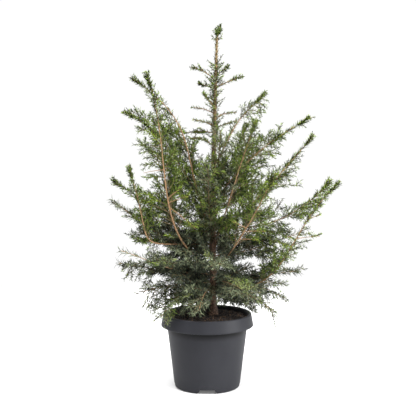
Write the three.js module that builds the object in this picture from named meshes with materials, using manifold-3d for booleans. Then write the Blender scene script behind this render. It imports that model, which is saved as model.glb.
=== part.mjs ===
// A young Serbian spruce in a round nursery pot, as an assembly of separate solids.
// Millimetres, +Z up. The origin is the middle of the pot's flat underside, on the ground.
// An azimuth is in degrees seen from above: 0 is right (+X), 90 is back (+Y), 270 is front.

import * as THREE from "three";
import { mergeVertices } from "three/addons/utils/BufferGeometryUtils.js";
import Module from "manifold-3d";

const wasm = await Module();
wasm.setup();

// Driving dimensions

const CLEARANCE = 0.3; // between a piece and what carries it
const SPRAY_CLEARANCE = 0.6; // between a spray and any other piece
const SLIVER = 0.05; // faces thinner than this are smoothed away after a join

// Pot: a tapered body, and a skirt that hangs outwards from the rim
const POT_HEIGHT = 182;
const POT_WALL = 2.2;
const POT_FLOOR = 3.5;
const POT_SEGMENTS = 30;
const FOOT_RADIUS = 81.5;
const FOOT_ROUND = 6;
const NECK_RADIUS = 98.8;
const NECK_HEIGHT = 150;
const MOUTH_RADIUS = 102.4;
const RIM_RADIUS = 108.4;
const RIM_ROUND = 1.6;
const LIP_RADIUS = 114.4;
const LIP_HEIGHT = 153;
const SKIRT_WALL = 2.4;

// Notches: short tunnels under the edge of the foot that let water out
const NOTCH_COUNT = 4;
const NOTCH_FRONT = 270;
const NOTCH_WIDTH = 35;
const NOTCH_FLARE = 4.5;
const NOTCH_HEIGHT = 9;
const NOTCH_DEPTH = 24;
const NOTCH_COVER = 2.2;

// Compost: fills the pot to just under the rim, with a low plateau round the trunk
const SOIL_EDGE = 168;
const SOIL_TOP = 174;
const SOIL_PLATEAU = 46;
const SOIL_SEGMENTS = 28;

// Trunk: a slight bow, a lean to the right, a root flare, and a long taper to the leader
const TRUNK_FOOT = new THREE.Vector2(15, 10);
const TRUNK_BOW = 7;
const TRUNK_LEAN = 15.5;
const TRUNK_TOP = 850;
const TRUNK_RADIUS = 9.5;
const TRUNK_FLARE = 4;
const TRUNK_FLARE_HEIGHT = 12;
const LEADER_RADIUS = 2.4;
const TRUNK_TAPER = 0.85;
const TRUNK_SIDES = 9;
const TRUNK_RINGS = 16;
const LEADER_TIP = new THREE.Vector3(32, 0, 885);
const LEADER_REACH = 8;

// Limbs: girth follows length
const BOUGH_GIRTH = 1.6; // radius at the root of a short limb
const BOUGH_GIRTH_PER_LENGTH = 0.0045; // more radius for each millimetre of length
const TIP_RADIUS = 0.8;
const BOUGH_SIDES = 5;
const BOUGH_RINGS = 6;
const STEM_SIDES = 3;
const STEM_RING_PITCH = 50;
const STEM_SUNK = 5; // how far a stem goes on inside its end spray
const END_ROOT = 2.2; // an end spray's root holds the stem's end inside it
const SIDE_ROOT = 0.45; // a side spray's root starts inside the stem
const BOW = 0.38; // how far a limb holds its first and last direction, as a share of its span

// Sprays: three toothed wings of needles round a slim core
const SPRAY_SPACING = 36;
const SPRAY_ANGLE = 52;
const SPRAY_ROLL = 80; // spread of the sprays' roll about the stem
const SPRAY_LONGEST = 118;
const SPRAY_SHORTEST = 44;
const SPRAY_SHARE = 0.55; // longest side spray, as a share of its stem
const SPRAY_TRIES = 12;
const END_SPRAY_LONGEST = 85;
const END_SPRAY_SHARE = 0.42;
const SIDE_REACH = 0.185; // a side spray's wings, as a share of its length
const END_REACH = 0.2; // an end spray is slimmer
const END_REACH_MOST = 12;
const NEEDLE_LEAN = 0.3; // lower values make the teeth lean further forward
const TOOTH_PITCH = 34; // at most, so that a longer spray has more teeth
const GAP_SHARE = 0.32; // depth that is left between two teeth, as a share of the reach
const VALLEY_SHARE = 0.4; // where the wings are thickest, as a share of the length
const TIP_NARROWING = 0.7; // how much the wings narrow towards the tip
const SPRAY_CORE = 0.9;
const SPRAY_CORE_PER_LENGTH = 0.008;
const SEED = 3;

// Boughs, each with a mass of foliage that goes on from its tip: where each leaves the trunk, which way it
// goes, how far and how high its tip is, how steeply it rises at root and tip, and the share that is bare.
// A bow, where one is given, makes the bend sharper.
const BOUGHS = [
  { name: "left_front", from: 298, azimuth: 216, reach: 192, tip: 764, rise: [20, 66], bare: 0.34, bow: 0.4 },
  { name: "left_tall", from: 374, azimuth: 203, reach: 210, tip: 752, rise: [64, 31], bare: 0.32, bow: 0.51 },
  { name: "left_upper", from: 434, azimuth: 160, reach: 241, tip: 678, rise: [45, 22], bare: 0.24 },
  { name: "left_elbow", from: 350, azimuth: 203, reach: 217, tip: 548, rise: [4, 71], bare: 0.46, bow: 0.8 },
  { name: "left_long", from: 376, azimuth: 160, reach: 276, tip: 504, rise: [15, 28], bare: 0.24 },
  { name: "right_tall", from: 539, azimuth: 20, reach: 140, tip: 724, rise: [60, 41], bare: 0.26, bow: 0.56 },
  { name: "right_front_tall", from: 330, azimuth: 310, reach: 154, tip: 654, rise: [65, 62], bare: 0.4 },
  { name: "right_upper", from: 450, azimuth: 10, reach: 246, tip: 662, rise: [55, 28], bare: 0.26 },
  { name: "right_middle", from: 365, azimuth: 352, reach: 245, tip: 620, rise: [40, 50], bare: 0.26 },
  { name: "right_front", from: 275, azimuth: 302, reach: 255, tip: 533, rise: [38, 52], bare: 0.42 },
  { name: "right_low", from: 246, azimuth: 345, reach: 310, tip: 510, rise: [-8, 43], bare: 0.34, bow: 0.48 },
  { name: "right_long", from: 396, azimuth: 15, reach: 313, tip: 506, rise: [-10, 45], bare: 0.24, bow: 0.4 },
  { name: "back_left", from: 360, azimuth: 125, reach: 200, tip: 600, rise: [45, 50], bare: 0.26 },
  { name: "back_right", from: 400, azimuth: 62, reach: 190, tip: 650, rise: [50, 50], bare: 0.26 },
];

// Masses of foliage whose stem springs from the trunk itself, from the foot of the crown to the leader.
const TRUNK_MASSES = [
  { name: "left_low", from: 318, azimuth: 186, reach: 243, tip: 460, rise: [18, 40] },
  { name: "left_inner", from: 342, azimuth: 168, reach: 190, tip: 380, rise: [0, 25] },
  { name: "right_inner", from: 322, azimuth: 8, reach: 222, tip: 378, rise: [3, 20] },
  { name: "back_low", from: 300, azimuth: 95, reach: 240, tip: 430, rise: [15, 35] },
  { name: "low_left", from: 275, azimuth: 180, reach: 232, tip: 304, rise: [0, 10] },
  { name: "low_left_front", from: 278, azimuth: 208, reach: 244, tip: 350, rise: [0, 20] },
  { name: "low_right", from: 265, azimuth: 15, reach: 219, tip: 276, rise: [-5, 5] },
  { name: "low_right_front", from: 262, azimuth: 298, reach: 188, tip: 250, rise: [5, -15] },
  { name: "low_back", from: 250, azimuth: 80, reach: 180, tip: 240, rise: [5, -15] },
  { name: "drooping_left", from: 255, azimuth: 195, reach: 193, tip: 236, rise: [5, -15] },
  { name: "drooping_left_front", from: 250, azimuth: 218, reach: 155, tip: 190, rise: [8, -50] },
  { name: "drooping_front", from: 245, azimuth: 256, reach: 140, tip: 212, rise: [10, -40] },
  { name: "drooping_right", from: 252, azimuth: 358, reach: 180, tip: 216, rise: [10, -30] },
  { name: "drooping_right_front", from: 231, azimuth: 328, reach: 174, tip: 194, rise: [10, -40] },
  { name: "inner_front_low", from: 312, azimuth: 276, reach: 140, tip: 322, rise: [10, 10] },
  { name: "inner_front", from: 352, azimuth: 262, reach: 92, tip: 540, rise: [35, 80] },
  { name: "inner_front_high", from: 474, azimuth: 285, reach: 62, tip: 630, rise: [45, 80] },
  { name: "upper_left_1", from: 590, azimuth: 190, reach: 58, tip: 608, rise: [40, -20] },
  { name: "upper_left_2", from: 622, azimuth: 165, reach: 78, tip: 622, rise: [15, -10] },
  { name: "upper_right_2", from: 632, azimuth: 335, reach: 58, tip: 652, rise: [30, 15] },
  { name: "upper_left_3", from: 640, azimuth: 205, reach: 57, tip: 655, rise: [25, 10] },
  { name: "upper_right_3", from: 657, azimuth: 12, reach: 54, tip: 673, rise: [40, 5] },
  { name: "upper_left_4", from: 668, azimuth: 172, reach: 57, tip: 685, rise: [35, 5] },
  { name: "upper_front_left", from: 678, azimuth: 238, reach: 50, tip: 719, rise: [65, 60] },
  { name: "top_left_low", from: 728, azimuth: 150, reach: 48, tip: 744, rise: [30, 20] },
  { name: "top_right", from: 731, azimuth: 345, reach: 67, tip: 758, rise: [30, 20] },
  { name: "top_left", from: 748, azimuth: 195, reach: 60, tip: 778, rise: [45, 5] },
  { name: "top_right_back", from: 758, azimuth: 40, reach: 40, tip: 786, rise: [45, 45] },
];

// Colours, roughness and metalness

const COLOURS = {
  pot: { color: 0x47484c, roughness: 0.55, metalness: 0 },
  soil: { color: 0x2f221b, roughness: 1, metalness: 0 },
  trunk: { color: 0x5d4432, roughness: 0.9, metalness: 0 },
  bough: { color: 0xa0703f, roughness: 0.8, metalness: 0 },
  foliage: { color: 0x4c6844, roughness: 0.6, metalness: 0 },
};

// Working between geometries and solids

function solidOf(geometry) {
  const bare = new THREE.BufferGeometry();
  bare.setAttribute("position", geometry.getAttribute("position"));
  bare.setIndex(geometry.getIndex());
  const merged = mergeVertices(bare);
  const corners = merged.index.array;
  const kept = [];
  for (let i = 0; i < corners.length; i += 3) {
    const [a, b, c] = corners.slice(i, i + 3);
    if (a !== b && b !== c && c !== a) kept.push(a, b, c);
  }
  return new wasm.Manifold(
    new wasm.Mesh({
      numProp: 3,
      vertProperties: new Float32Array(merged.attributes.position.array),
      triVerts: new Uint32Array(kept),
    }),
  );
}

// One closed body: the largest, so that a sealed hollow is filled and a loose scrap is dropped.
function fuse(solids) {
  const bodies = wasm.Manifold.union(solids).decompose();
  bodies.sort((a, b) => b.volume() - a.volume());
  return bodies[0].simplify(SLIVER);
}

function meshOf(name, solid, look) {
  const { vertProperties, triVerts } = solid.getMesh();
  const geometry = new THREE.BufferGeometry();
  geometry.setAttribute("position", new THREE.BufferAttribute(vertProperties, 3));
  geometry.setIndex(new THREE.BufferAttribute(triVerts, 1));
  geometry.computeVertexNormals();
  const mesh = new THREE.Mesh(geometry, new THREE.MeshStandardMaterial(look));
  mesh.name = name;
  return mesh;
}

function turned(points, segments) {
  const lathe = new THREE.LatheGeometry(points, segments);
  return solidOf(lathe.rotateX(Math.PI / 2));
}

const radians = THREE.MathUtils.degToRad;

// A repeatable stream of numbers from 0 to 1 (mulberry32).
function numberStream(seed) {
  let state = seed >>> 0;
  return () => {
    state = (state + 0x6d2b79f5) >>> 0;
    let mixed = Math.imul(state ^ (state >>> 15), state | 1);
    mixed ^= mixed + Math.imul(mixed ^ (mixed >>> 7), mixed | 61);
    return ((mixed ^ (mixed >>> 14)) >>> 0) / 4294967296;
  };
}

// Pot and compost

function wallRadius(height) {
  return THREE.MathUtils.mapLinear(height, FOOT_ROUND, NECK_HEIGHT, FOOT_RADIUS, NECK_RADIUS);
}

function potShell() {
  const inside = FOOT_RADIUS - POT_WALL;
  const ledge = POT_HEIGHT - SKIRT_WALL;
  const path = new THREE.Path();
  path.moveTo(0, 0);
  path.lineTo(FOOT_RADIUS - FOOT_ROUND, 0);
  path.quadraticCurveTo(FOOT_RADIUS, 0, FOOT_RADIUS, FOOT_ROUND);
  path.lineTo(wallRadius(ledge), ledge);
  path.lineTo(RIM_RADIUS - SKIRT_WALL, ledge);
  path.lineTo(LIP_RADIUS - SKIRT_WALL, LIP_HEIGHT);
  path.lineTo(LIP_RADIUS - RIM_ROUND, LIP_HEIGHT);
  path.quadraticCurveTo(LIP_RADIUS, LIP_HEIGHT, LIP_RADIUS, LIP_HEIGHT + RIM_ROUND);
  path.lineTo(RIM_RADIUS, POT_HEIGHT - RIM_ROUND);
  path.quadraticCurveTo(RIM_RADIUS, POT_HEIGHT, RIM_RADIUS - RIM_ROUND, POT_HEIGHT);
  path.lineTo(MOUTH_RADIUS + RIM_ROUND, POT_HEIGHT);
  path.lineTo(wallRadius(ledge) - POT_WALL, ledge);
  path.lineTo(inside, FOOT_ROUND);
  path.lineTo(inside - FOOT_ROUND, POT_FLOOR);
  path.lineTo(0, POT_FLOOR);
  return turned(path.getPoints(2), POT_SEGMENTS);
}

function potOutside() {
  const path = new THREE.Path();
  path.moveTo(0, 0);
  path.lineTo(FOOT_RADIUS - FOOT_ROUND, 0);
  path.quadraticCurveTo(FOOT_RADIUS, 0, FOOT_RADIUS, FOOT_ROUND);
  path.lineTo(NECK_RADIUS, NECK_HEIGHT);
  path.lineTo(0, NECK_HEIGHT);
  return turned(path.getPoints(2), POT_SEGMENTS);
}

// The space of one notch, or of what covers it when it is grown all round.
function notchBlock(azimuth, grown) {
  const half = NOTCH_WIDTH / 2 + grown;
  const top = NOTCH_HEIGHT + grown;
  const shape = new THREE.Shape();
  shape.moveTo(-half - NOTCH_FLARE, -1);
  shape.lineTo(half + NOTCH_FLARE, -1);
  shape.quadraticCurveTo(half, 0, half, NOTCH_HEIGHT / 2);
  shape.lineTo(half - 1, top);
  shape.lineTo(1 - half, top);
  shape.lineTo(-half, NOTCH_HEIGHT / 2);
  shape.quadraticCurveTo(-half, 0, -half - NOTCH_FLARE, -1);
  const inner = FOOT_RADIUS - NOTCH_DEPTH - grown;
  const block = new THREE.ExtrudeGeometry(shape, {
    depth: NOTCH_DEPTH + 2 * grown + FOOT_ROUND,
    bevelEnabled: false,
    curveSegments: 3,
  });
  const outwards = new THREE.Vector3(Math.cos(radians(azimuth)), Math.sin(radians(azimuth)), 0);
  const up = new THREE.Vector3(0, 0, 1);
  const across = new THREE.Vector3().crossVectors(up, outwards);
  const place = new THREE.Matrix4().makeBasis(across, up, outwards);
  place.setPosition(outwards.clone().multiplyScalar(inner));
  return solidOf(block.applyMatrix4(place));
}

function notchAzimuths() {
  return Array.from({ length: NOTCH_COUNT }, (_, i) => NOTCH_FRONT + (i * 360) / NOTCH_COUNT);
}

function makePot() {
  const outside = potOutside();
  let pot = potShell();
  for (const azimuth of notchAzimuths()) {
    pot = pot.add(notchBlock(azimuth, NOTCH_COVER).intersect(outside));
    pot = pot.subtract(notchBlock(azimuth, 0));
  }
  return fuse([pot]);
}

function makeSoil() {
  const inside = (height) => wallRadius(height) - POT_WALL - 2 * CLEARANCE;
  const bottom = POT_FLOOR + CLEARANCE;
  const points = [
    new THREE.Vector2(0, bottom),
    new THREE.Vector2(inside(FOOT_ROUND) - FOOT_ROUND, bottom),
    new THREE.Vector2(inside(FOOT_ROUND), FOOT_ROUND + CLEARANCE),
    new THREE.Vector2(inside(SOIL_EDGE), SOIL_EDGE),
    new THREE.Vector2(SOIL_PLATEAU, SOIL_TOP),
    new THREE.Vector2(0, SOIL_TOP),
  ];
  let soil = turned(points, SOIL_SEGMENTS);
  for (const azimuth of notchAzimuths()) {
    soil = soil.subtract(notchBlock(azimuth, NOTCH_COVER + CLEARANCE));
  }
  return fuse([soil]);
}

// Trunk

function trunkShare(height) {
  return (height - SOIL_TOP) / (TRUNK_TOP - SOIL_TOP);
}

function trunkAt(height) {
  const share = trunkShare(height);
  const x = TRUNK_FOOT.x - TRUNK_BOW * share + TRUNK_LEAN * share * share;
  return new THREE.Vector3(x, TRUNK_FOOT.y * (1 - share), height);
}

function trunkRadius(height) {
  const taper = Math.pow(Math.max(trunkShare(height), 0), TRUNK_TAPER);
  const flare = TRUNK_FLARE * Math.exp((SOIL_TOP - height) / TRUNK_FLARE_HEIGHT);
  return THREE.MathUtils.lerp(TRUNK_RADIUS, LEADER_RADIUS, taper) + flare;
}

// The trunk from a flat cut on the compost to the foot of the leader's tuft, its rings level and closer
// together over the flare. Grown, it is the space that limbs are cut back from.
function makeTrunk(grown) {
  const round = new THREE.CylinderGeometry(1, 1, 1, TRUNK_SIDES, TRUNK_RINGS);
  const corners = round.getAttribute("position");
  const foot = SOIL_TOP + CLEARANCE;
  for (let i = 0; i < corners.count; i++) {
    const share = Math.pow(corners.getY(i) + 0.5, 1.4);
    const height = THREE.MathUtils.lerp(foot, TRUNK_TOP, share);
    const axis = trunkAt(height);
    const radius = trunkRadius(height) + grown;
    corners.setXYZ(i, axis.x + corners.getX(i) * radius, axis.y - corners.getZ(i) * radius, height);
  }
  return solidOf(round);
}

// Limbs and stems

// The line of a limb or stem, from the trunk's axis to its tip.
function growthLine({ from, azimuth, reach, tip, rise, bow = BOW }) {
  const root = trunkAt(from);
  const outwards = new THREE.Vector3(Math.cos(radians(azimuth)), Math.sin(radians(azimuth)), 0);
  const end = root.clone().addScaledVector(outwards, reach).setZ(tip);
  const hold = bow * root.distanceTo(end);
  const [first, last] = rise.map((angle) => {
    const heading = outwards.clone().multiplyScalar(Math.cos(radians(angle)));
    return heading.setZ(Math.sin(radians(angle)));
  });
  return new THREE.CubicBezierCurve3(
    root,
    root.clone().addScaledVector(first, hold),
    end.clone().addScaledVector(last, -hold),
    end,
  );
}

function limbRadius(line, share) {
  const root = BOUGH_GIRTH + BOUGH_GIRTH_PER_LENGTH * line.getLength();
  return THREE.MathUtils.lerp(root, TIP_RADIUS, share);
}

// The frame of a line at one share of its length: along it, level across it, and up from it.
function frameAt(line, share) {
  const span = line.v3.clone().sub(line.v0);
  const across = span.cross(new THREE.Vector3(0, 0, 1)).normalize();
  const along = line.getTangentAt(share);
  const up = new THREE.Vector3().crossVectors(across, along);
  return { along, across, up };
}

// A tapering round limb along part of a line, as a cylinder bent onto it.
function limb(line, start, end, sides, rings) {
  const round = new THREE.CylinderGeometry(1, 1, 1, sides, rings);
  const corners = round.getAttribute("position");
  for (let i = 0; i < corners.count; i++) {
    const share = THREE.MathUtils.lerp(start, end, corners.getY(i) + 0.5);
    const radius = limbRadius(line, share);
    const { across, up } = frameAt(line, share);
    const corner = line.getPointAt(share);
    corner.addScaledVector(across, corners.getX(i) * radius);
    corner.addScaledVector(up, corners.getZ(i) * radius);
    corners.setXYZ(i, corner.x, corner.y, corner.z);
  }
  return solidOf(round);
}

// Sprays of needles

// One wing's teeth, along the core and out from it. They lean forward, and every point is in sight of the
// valley point between two wings, so that plain triangles can fan out from there.
function wingTeeth(length, reach, teeth) {
  const valley = new THREE.Vector2(VALLEY_SHARE * length, 0);
  const pitch = length / (teeth + 0.8);
  const tips = Array.from({ length: teeth }, (_, i) => {
    return new THREE.Vector2(pitch * (i + 1.1), reach * (1 - (TIP_NARROWING * i) / teeth));
  });
  const angles = tips.map((tip) => tip.clone().sub(valley).angle());
  const gaps = tips.slice(1).map((_, i) => {
    const height = GAP_SHARE * tips[i].y;
    const angle = THREE.MathUtils.lerp(angles[i], angles[i + 1], NEEDLE_LEAN);
    return new THREE.Vector2(valley.x + height / Math.tan(angle), height);
  });
  return tips.flatMap((tip, i) => (i < gaps.length ? [tip, gaps[i]] : [tip]));
}

// A spray from the origin along +Z: three wings that share a slim core and meet in its tip.
function sprayGeometry(length, reach, teeth, rootRadius) {
  const core = SPRAY_CORE + SPRAY_CORE_PER_LENGTH * length;
  const around = (degrees, radius, along) =>
    new THREE.Vector3(Math.cos(radians(degrees)) * radius, Math.sin(radians(degrees)) * radius, along);
  const rootEdge = new THREE.Vector2(0, rootRadius);
  const apex = new THREE.Vector2(length, 0);
  const outline = [rootEdge, ...wingTeeth(length, reach, teeth), apex];
  const corners = [];
  for (const wing of [0, 120, 240]) {
    const edge = outline.map((point) => around(wing, point.y, point.x));
    const before = around(wing - 60, core, VALLEY_SHARE * length);
    const after = around(wing + 60, core, VALLEY_SHARE * length);
    for (let i = 0; i < edge.length - 1; i++) {
      corners.push(before, edge[i], edge[i + 1]);
      corners.push(after, edge[i + 1], edge[i]);
    }
    corners.push(after, edge[0], around(wing + 120, rootRadius, 0));
  }
  corners.push(around(0, rootRadius, 0), around(240, rootRadius, 0), around(120, rootRadius, 0));
  return new THREE.BufferGeometry().setFromPoints(corners);
}

function spray(root, tip, reach, rootRadius, roll) {
  const span = tip.clone().sub(root);
  const length = span.length();
  const teeth = Math.ceil(length / TOOTH_PITCH);
  const geometry = sprayGeometry(length, reach, teeth, rootRadius).rotateZ(roll);
  const turn = new THREE.Quaternion().setFromUnitVectors(new THREE.Vector3(0, 0, 1), span.normalize());
  geometry.applyQuaternion(turn).translate(root.x, root.y, root.z);
  return solidOf(geometry);
}

// What is placed so far, so that each mass keeps to its own space.
const placed = [];

function place(solid) {
  const { min, max } = solid.boundingBox();
  placed.push({ solid, min, max });
  return solid;
}

function isClear(stem, solid) {
  const { min, max } = solid.boundingBox();
  const gap = SPRAY_CLEARANCE;
  const isApart = (other) =>
    [0, 1, 2].some((k) => min[k] > other.max[k] + gap || max[k] < other.min[k] - gap);
  return placed.every(
    (other) => other.solid === stem || isApart(other) || other.solid.minGap(solid, 2 * gap) >= gap,
  );
}

// One side spray's heading: forward along the stem and out to alternate sides, rolled a little about it.
function sprayHeading(line, share, side, roll) {
  const { along, across, up } = frameAt(line, share);
  const out = across.multiplyScalar(side * Math.cos(roll)).addScaledVector(up, Math.sin(roll));
  const heading = along.multiplyScalar(Math.cos(radians(SPRAY_ANGLE)));
  return heading.addScaledVector(out, Math.sin(radians(SPRAY_ANGLE)));
}

// A stem's end spray goes on from the stem to the tip of its line.
function endSpray(line, share, roll) {
  const root = line.getPointAt(share);
  const reach = Math.min(END_REACH_MOST, END_REACH * root.distanceTo(line.v3));
  return spray(root, line.v3, reach, END_ROOT * limbRadius(line, share), roll);
}

// One side spray that is clear of everything else, or nothing after a few tries.
function sideSpray(mass, index, draw) {
  const { line, start, stem, stemLength, count } = mass;
  for (let attempt = 0; attempt < SPRAY_TRIES; attempt++) {
    const along = (0.8 * (index + draw())) / count;
    const share = THREE.MathUtils.lerp(start, 1, along);
    const side = index % 2 ? 1 : -1;
    const roll = radians(SPRAY_ROLL) * (draw() - 0.5);
    const full = THREE.MathUtils.lerp(SPRAY_LONGEST, SPRAY_SHORTEST, along) * (0.8 + 0.4 * draw());
    const length = Math.min(full, SPRAY_SHARE * stemLength) * (1 - 0.05 * attempt);
    const root = line.getPointAt(share);
    const tip = root.clone().addScaledVector(sprayHeading(line, share, side, roll), length);
    const rootRadius = SIDE_ROOT * limbRadius(line, share);
    const made = spray(root, tip, SIDE_REACH * length, rootRadius, 2 * Math.PI * draw());
    if (isClear(stem, made)) return place(made);
  }
  return null;
}

// The plant

function boughMass(row) {
  return { ...row, start: row.bare, line: growthLine(row) };
}

function trunkMass(row) {
  const line = growthLine(row);
  const start = trunkRadius(row.from) / line.getLength();
  return { ...row, start, line };
}

const trunkSpace = makeTrunk(CLEARANCE);
const part = new THREE.Group();
const draw = numberStream(SEED);

part.add(meshOf("pot", place(makePot()), COLOURS.pot));
part.add(meshOf("soil", place(makeSoil()), COLOURS.soil));
part.add(meshOf("trunk", place(makeTrunk(0)), COLOURS.trunk));

for (const row of BOUGHS) {
  const whole = limb(growthLine(row), 0, row.bare, BOUGH_SIDES, BOUGH_RINGS);
  const bough = fuse([whole.subtract(trunkSpace)]);
  part.add(meshOf(`bough_${row.name}`, place(bough), COLOURS.bough));
}

const masses = [...BOUGHS.map(boughMass), ...TRUNK_MASSES.map(trunkMass)];
for (const mass of masses) {
  const length = mass.line.getLength();
  mass.start += CLEARANCE / length;
  mass.stemLength = length * (1 - mass.start);
  mass.count = Math.max(2, Math.round(mass.stemLength / SPRAY_SPACING));
  const end = 1 - Math.min(END_SPRAY_LONGEST, END_SPRAY_SHARE * mass.stemLength) / length;
  const rings = Math.ceil(mass.stemLength / STEM_RING_PITCH);
  const stem = limb(mass.line, mass.start, end + STEM_SUNK / length, STEM_SIDES, rings);
  mass.stem = place(stem.subtract(trunkSpace));
  mass.solids = [mass.stem, place(endSpray(mass.line, end, 2 * Math.PI * draw()))];
}

// Sprays are dealt out one to each mass in turn, so that no mass takes all the room.
const mostSprays = Math.max(...masses.map((mass) => mass.count));
for (let index = 0; index < mostSprays; index++) {
  for (const mass of masses.filter((one) => index < one.count)) {
    const made = sideSpray(mass, index, draw);
    if (made) mass.solids.push(made);
  }
}
for (const mass of masses) part.add(meshOf(`foliage_${mass.name}`, fuse(mass.solids), COLOURS.foliage));

// The leader's tuft stands on the trunk's tip.
const leaderFoot = trunkAt(TRUNK_TOP).setZ(TRUNK_TOP + 3 * CLEARANCE);
const leaderTuft = spray(leaderFoot, LEADER_TIP, LEADER_REACH, LEADER_RADIUS, 0);
part.add(meshOf("foliage_leader", leaderTuft, COLOURS.foliage));

export default part;
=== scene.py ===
"""A young Serbian spruce in a round nursery pot, dressed over its solids. Metres, +Z up."""

import math
from collections import namedtuple

import bmesh
import bpy
import numpy as np
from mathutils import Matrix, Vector, noise


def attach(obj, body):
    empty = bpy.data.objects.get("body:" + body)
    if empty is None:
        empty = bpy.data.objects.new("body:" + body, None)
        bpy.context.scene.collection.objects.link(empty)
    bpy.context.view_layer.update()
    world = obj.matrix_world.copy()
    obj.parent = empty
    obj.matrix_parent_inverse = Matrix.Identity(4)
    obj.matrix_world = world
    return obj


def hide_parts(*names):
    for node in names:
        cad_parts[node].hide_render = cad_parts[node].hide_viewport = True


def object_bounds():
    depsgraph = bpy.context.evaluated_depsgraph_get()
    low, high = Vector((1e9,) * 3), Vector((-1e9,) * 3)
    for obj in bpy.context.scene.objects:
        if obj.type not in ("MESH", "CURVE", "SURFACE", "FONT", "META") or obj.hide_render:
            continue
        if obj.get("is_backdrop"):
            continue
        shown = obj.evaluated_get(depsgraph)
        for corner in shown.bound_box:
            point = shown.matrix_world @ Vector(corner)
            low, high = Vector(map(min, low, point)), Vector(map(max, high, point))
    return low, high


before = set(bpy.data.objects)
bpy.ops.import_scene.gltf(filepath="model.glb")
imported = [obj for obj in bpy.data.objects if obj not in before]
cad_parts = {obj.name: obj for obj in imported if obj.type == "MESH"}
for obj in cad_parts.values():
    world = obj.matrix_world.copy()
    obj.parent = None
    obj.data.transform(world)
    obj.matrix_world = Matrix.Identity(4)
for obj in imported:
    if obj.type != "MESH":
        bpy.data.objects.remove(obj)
solids_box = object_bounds()

MM = 0.001
UP = np.array([0.0, 0.0, 1.0])
GOLDEN_ANGLE = 2.39996
WHITE = (1, 1, 1, 1)
BOX_LOW, BOX_HIGH = (np.array(corner) / MM for corner in solids_box)

# The crown's skeleton, as in the part's source: millimetres and degrees.
# An azimuth is seen from above: 0 is right, 90 is back, 180 is left and 270 is front.
SOIL_TOP = 174
SOIL_EDGE = 168
TRUNK_FOOT = (15, 10)
TRUNK_BOW = 7
TRUNK_LEAN = 15.5
TRUNK_TOP = 850
TRUNK_RADIUS = 9.5
TRUNK_FLARE = 4
TRUNK_FLARE_HEIGHT = 12
TRUNK_TAPER = 0.85
LEADER_RADIUS = 2.4
LEADER_TIP = (32, 0, 885)
BOUGH_GIRTH = 1.6
BOUGH_GIRTH_PER_LENGTH = 0.0045
TIP_RADIUS = 0.8
LIMB_SLIMNESS = 0.64
BOW = 0.38
LINE_POINTS = 121

# How far the trunk goes into the compost, how old limbs are at the root, and how fine their lines are
TRUNK_SUNK = 4
TRUNK_AGE = 1.3
BOUGH_AGE = 0.6
LOW_AGE = 1.5
AGE_FALL = 1.5
TRUNK_POINTS = 420
LIMB_STEP = 2.2
STEM_STEP = 8

# Name, height on the trunk, azimuth, reach, tip's height, rise at root and tip, bare share, and the bow
# where it is sharper
BOUGHS = [
    ("left_front", 298, 216, 192, 764, 20, 66, 0.34, 0.4),
    ("left_tall", 374, 203, 210, 752, 64, 31, 0.32, 0.51),
    ("left_upper", 434, 160, 241, 678, 45, 22, 0.24),
    ("left_elbow", 350, 203, 217, 548, 4, 71, 0.46, 0.8),
    ("left_long", 376, 160, 276, 504, 15, 28, 0.24),
    ("right_tall", 539, 20, 140, 724, 60, 41, 0.26, 0.56),
    ("right_front_tall", 330, 310, 154, 654, 65, 62, 0.4),
    ("right_upper", 450, 10, 246, 662, 55, 28, 0.26),
    ("right_middle", 365, 352, 245, 620, 40, 50, 0.26),
    ("right_front", 275, 302, 255, 533, 38, 52, 0.42),
    ("right_low", 246, 345, 310, 510, -8, 43, 0.34, 0.48),
    ("right_long", 396, 15, 313, 506, -10, 45, 0.24, 0.4),
    ("back_left", 360, 125, 200, 600, 45, 50, 0.26),
    ("back_right", 400, 62, 190, 650, 50, 50, 0.26),
]

# Boughs between these azimuths, and those named, carry their shoots at the sides and back up to a share of
# their line, which leaves their bark in sight.
FRONT_BOUGHS = (196, 320)
SHOWN_STEMS = ("right_tall", "right_upper", "right_middle")
STEM_SHOWN_TO = 0.8
STEM_SHOWN_BACK = 0.6

# A bough's own needles, thin ones and the dense ones of its tip: where they begin, by shares of its line or
# of its bare part, their length as a share of the longest, and how far they lean
FRONT_BARE = 0.76
FRONT_NEEDLED = 0.82
BOUGH_NEEDLED = 0.72
THIN_FROM = 0.5
THIN_TO = 0.84
THIN_NEEDLE = 0.8
THIN_LEAN = 0.5
DENSE_NEEDLE = 0.9
DENSE_LEAN = 0.65
SHOOTS_FROM = 0.8

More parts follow.
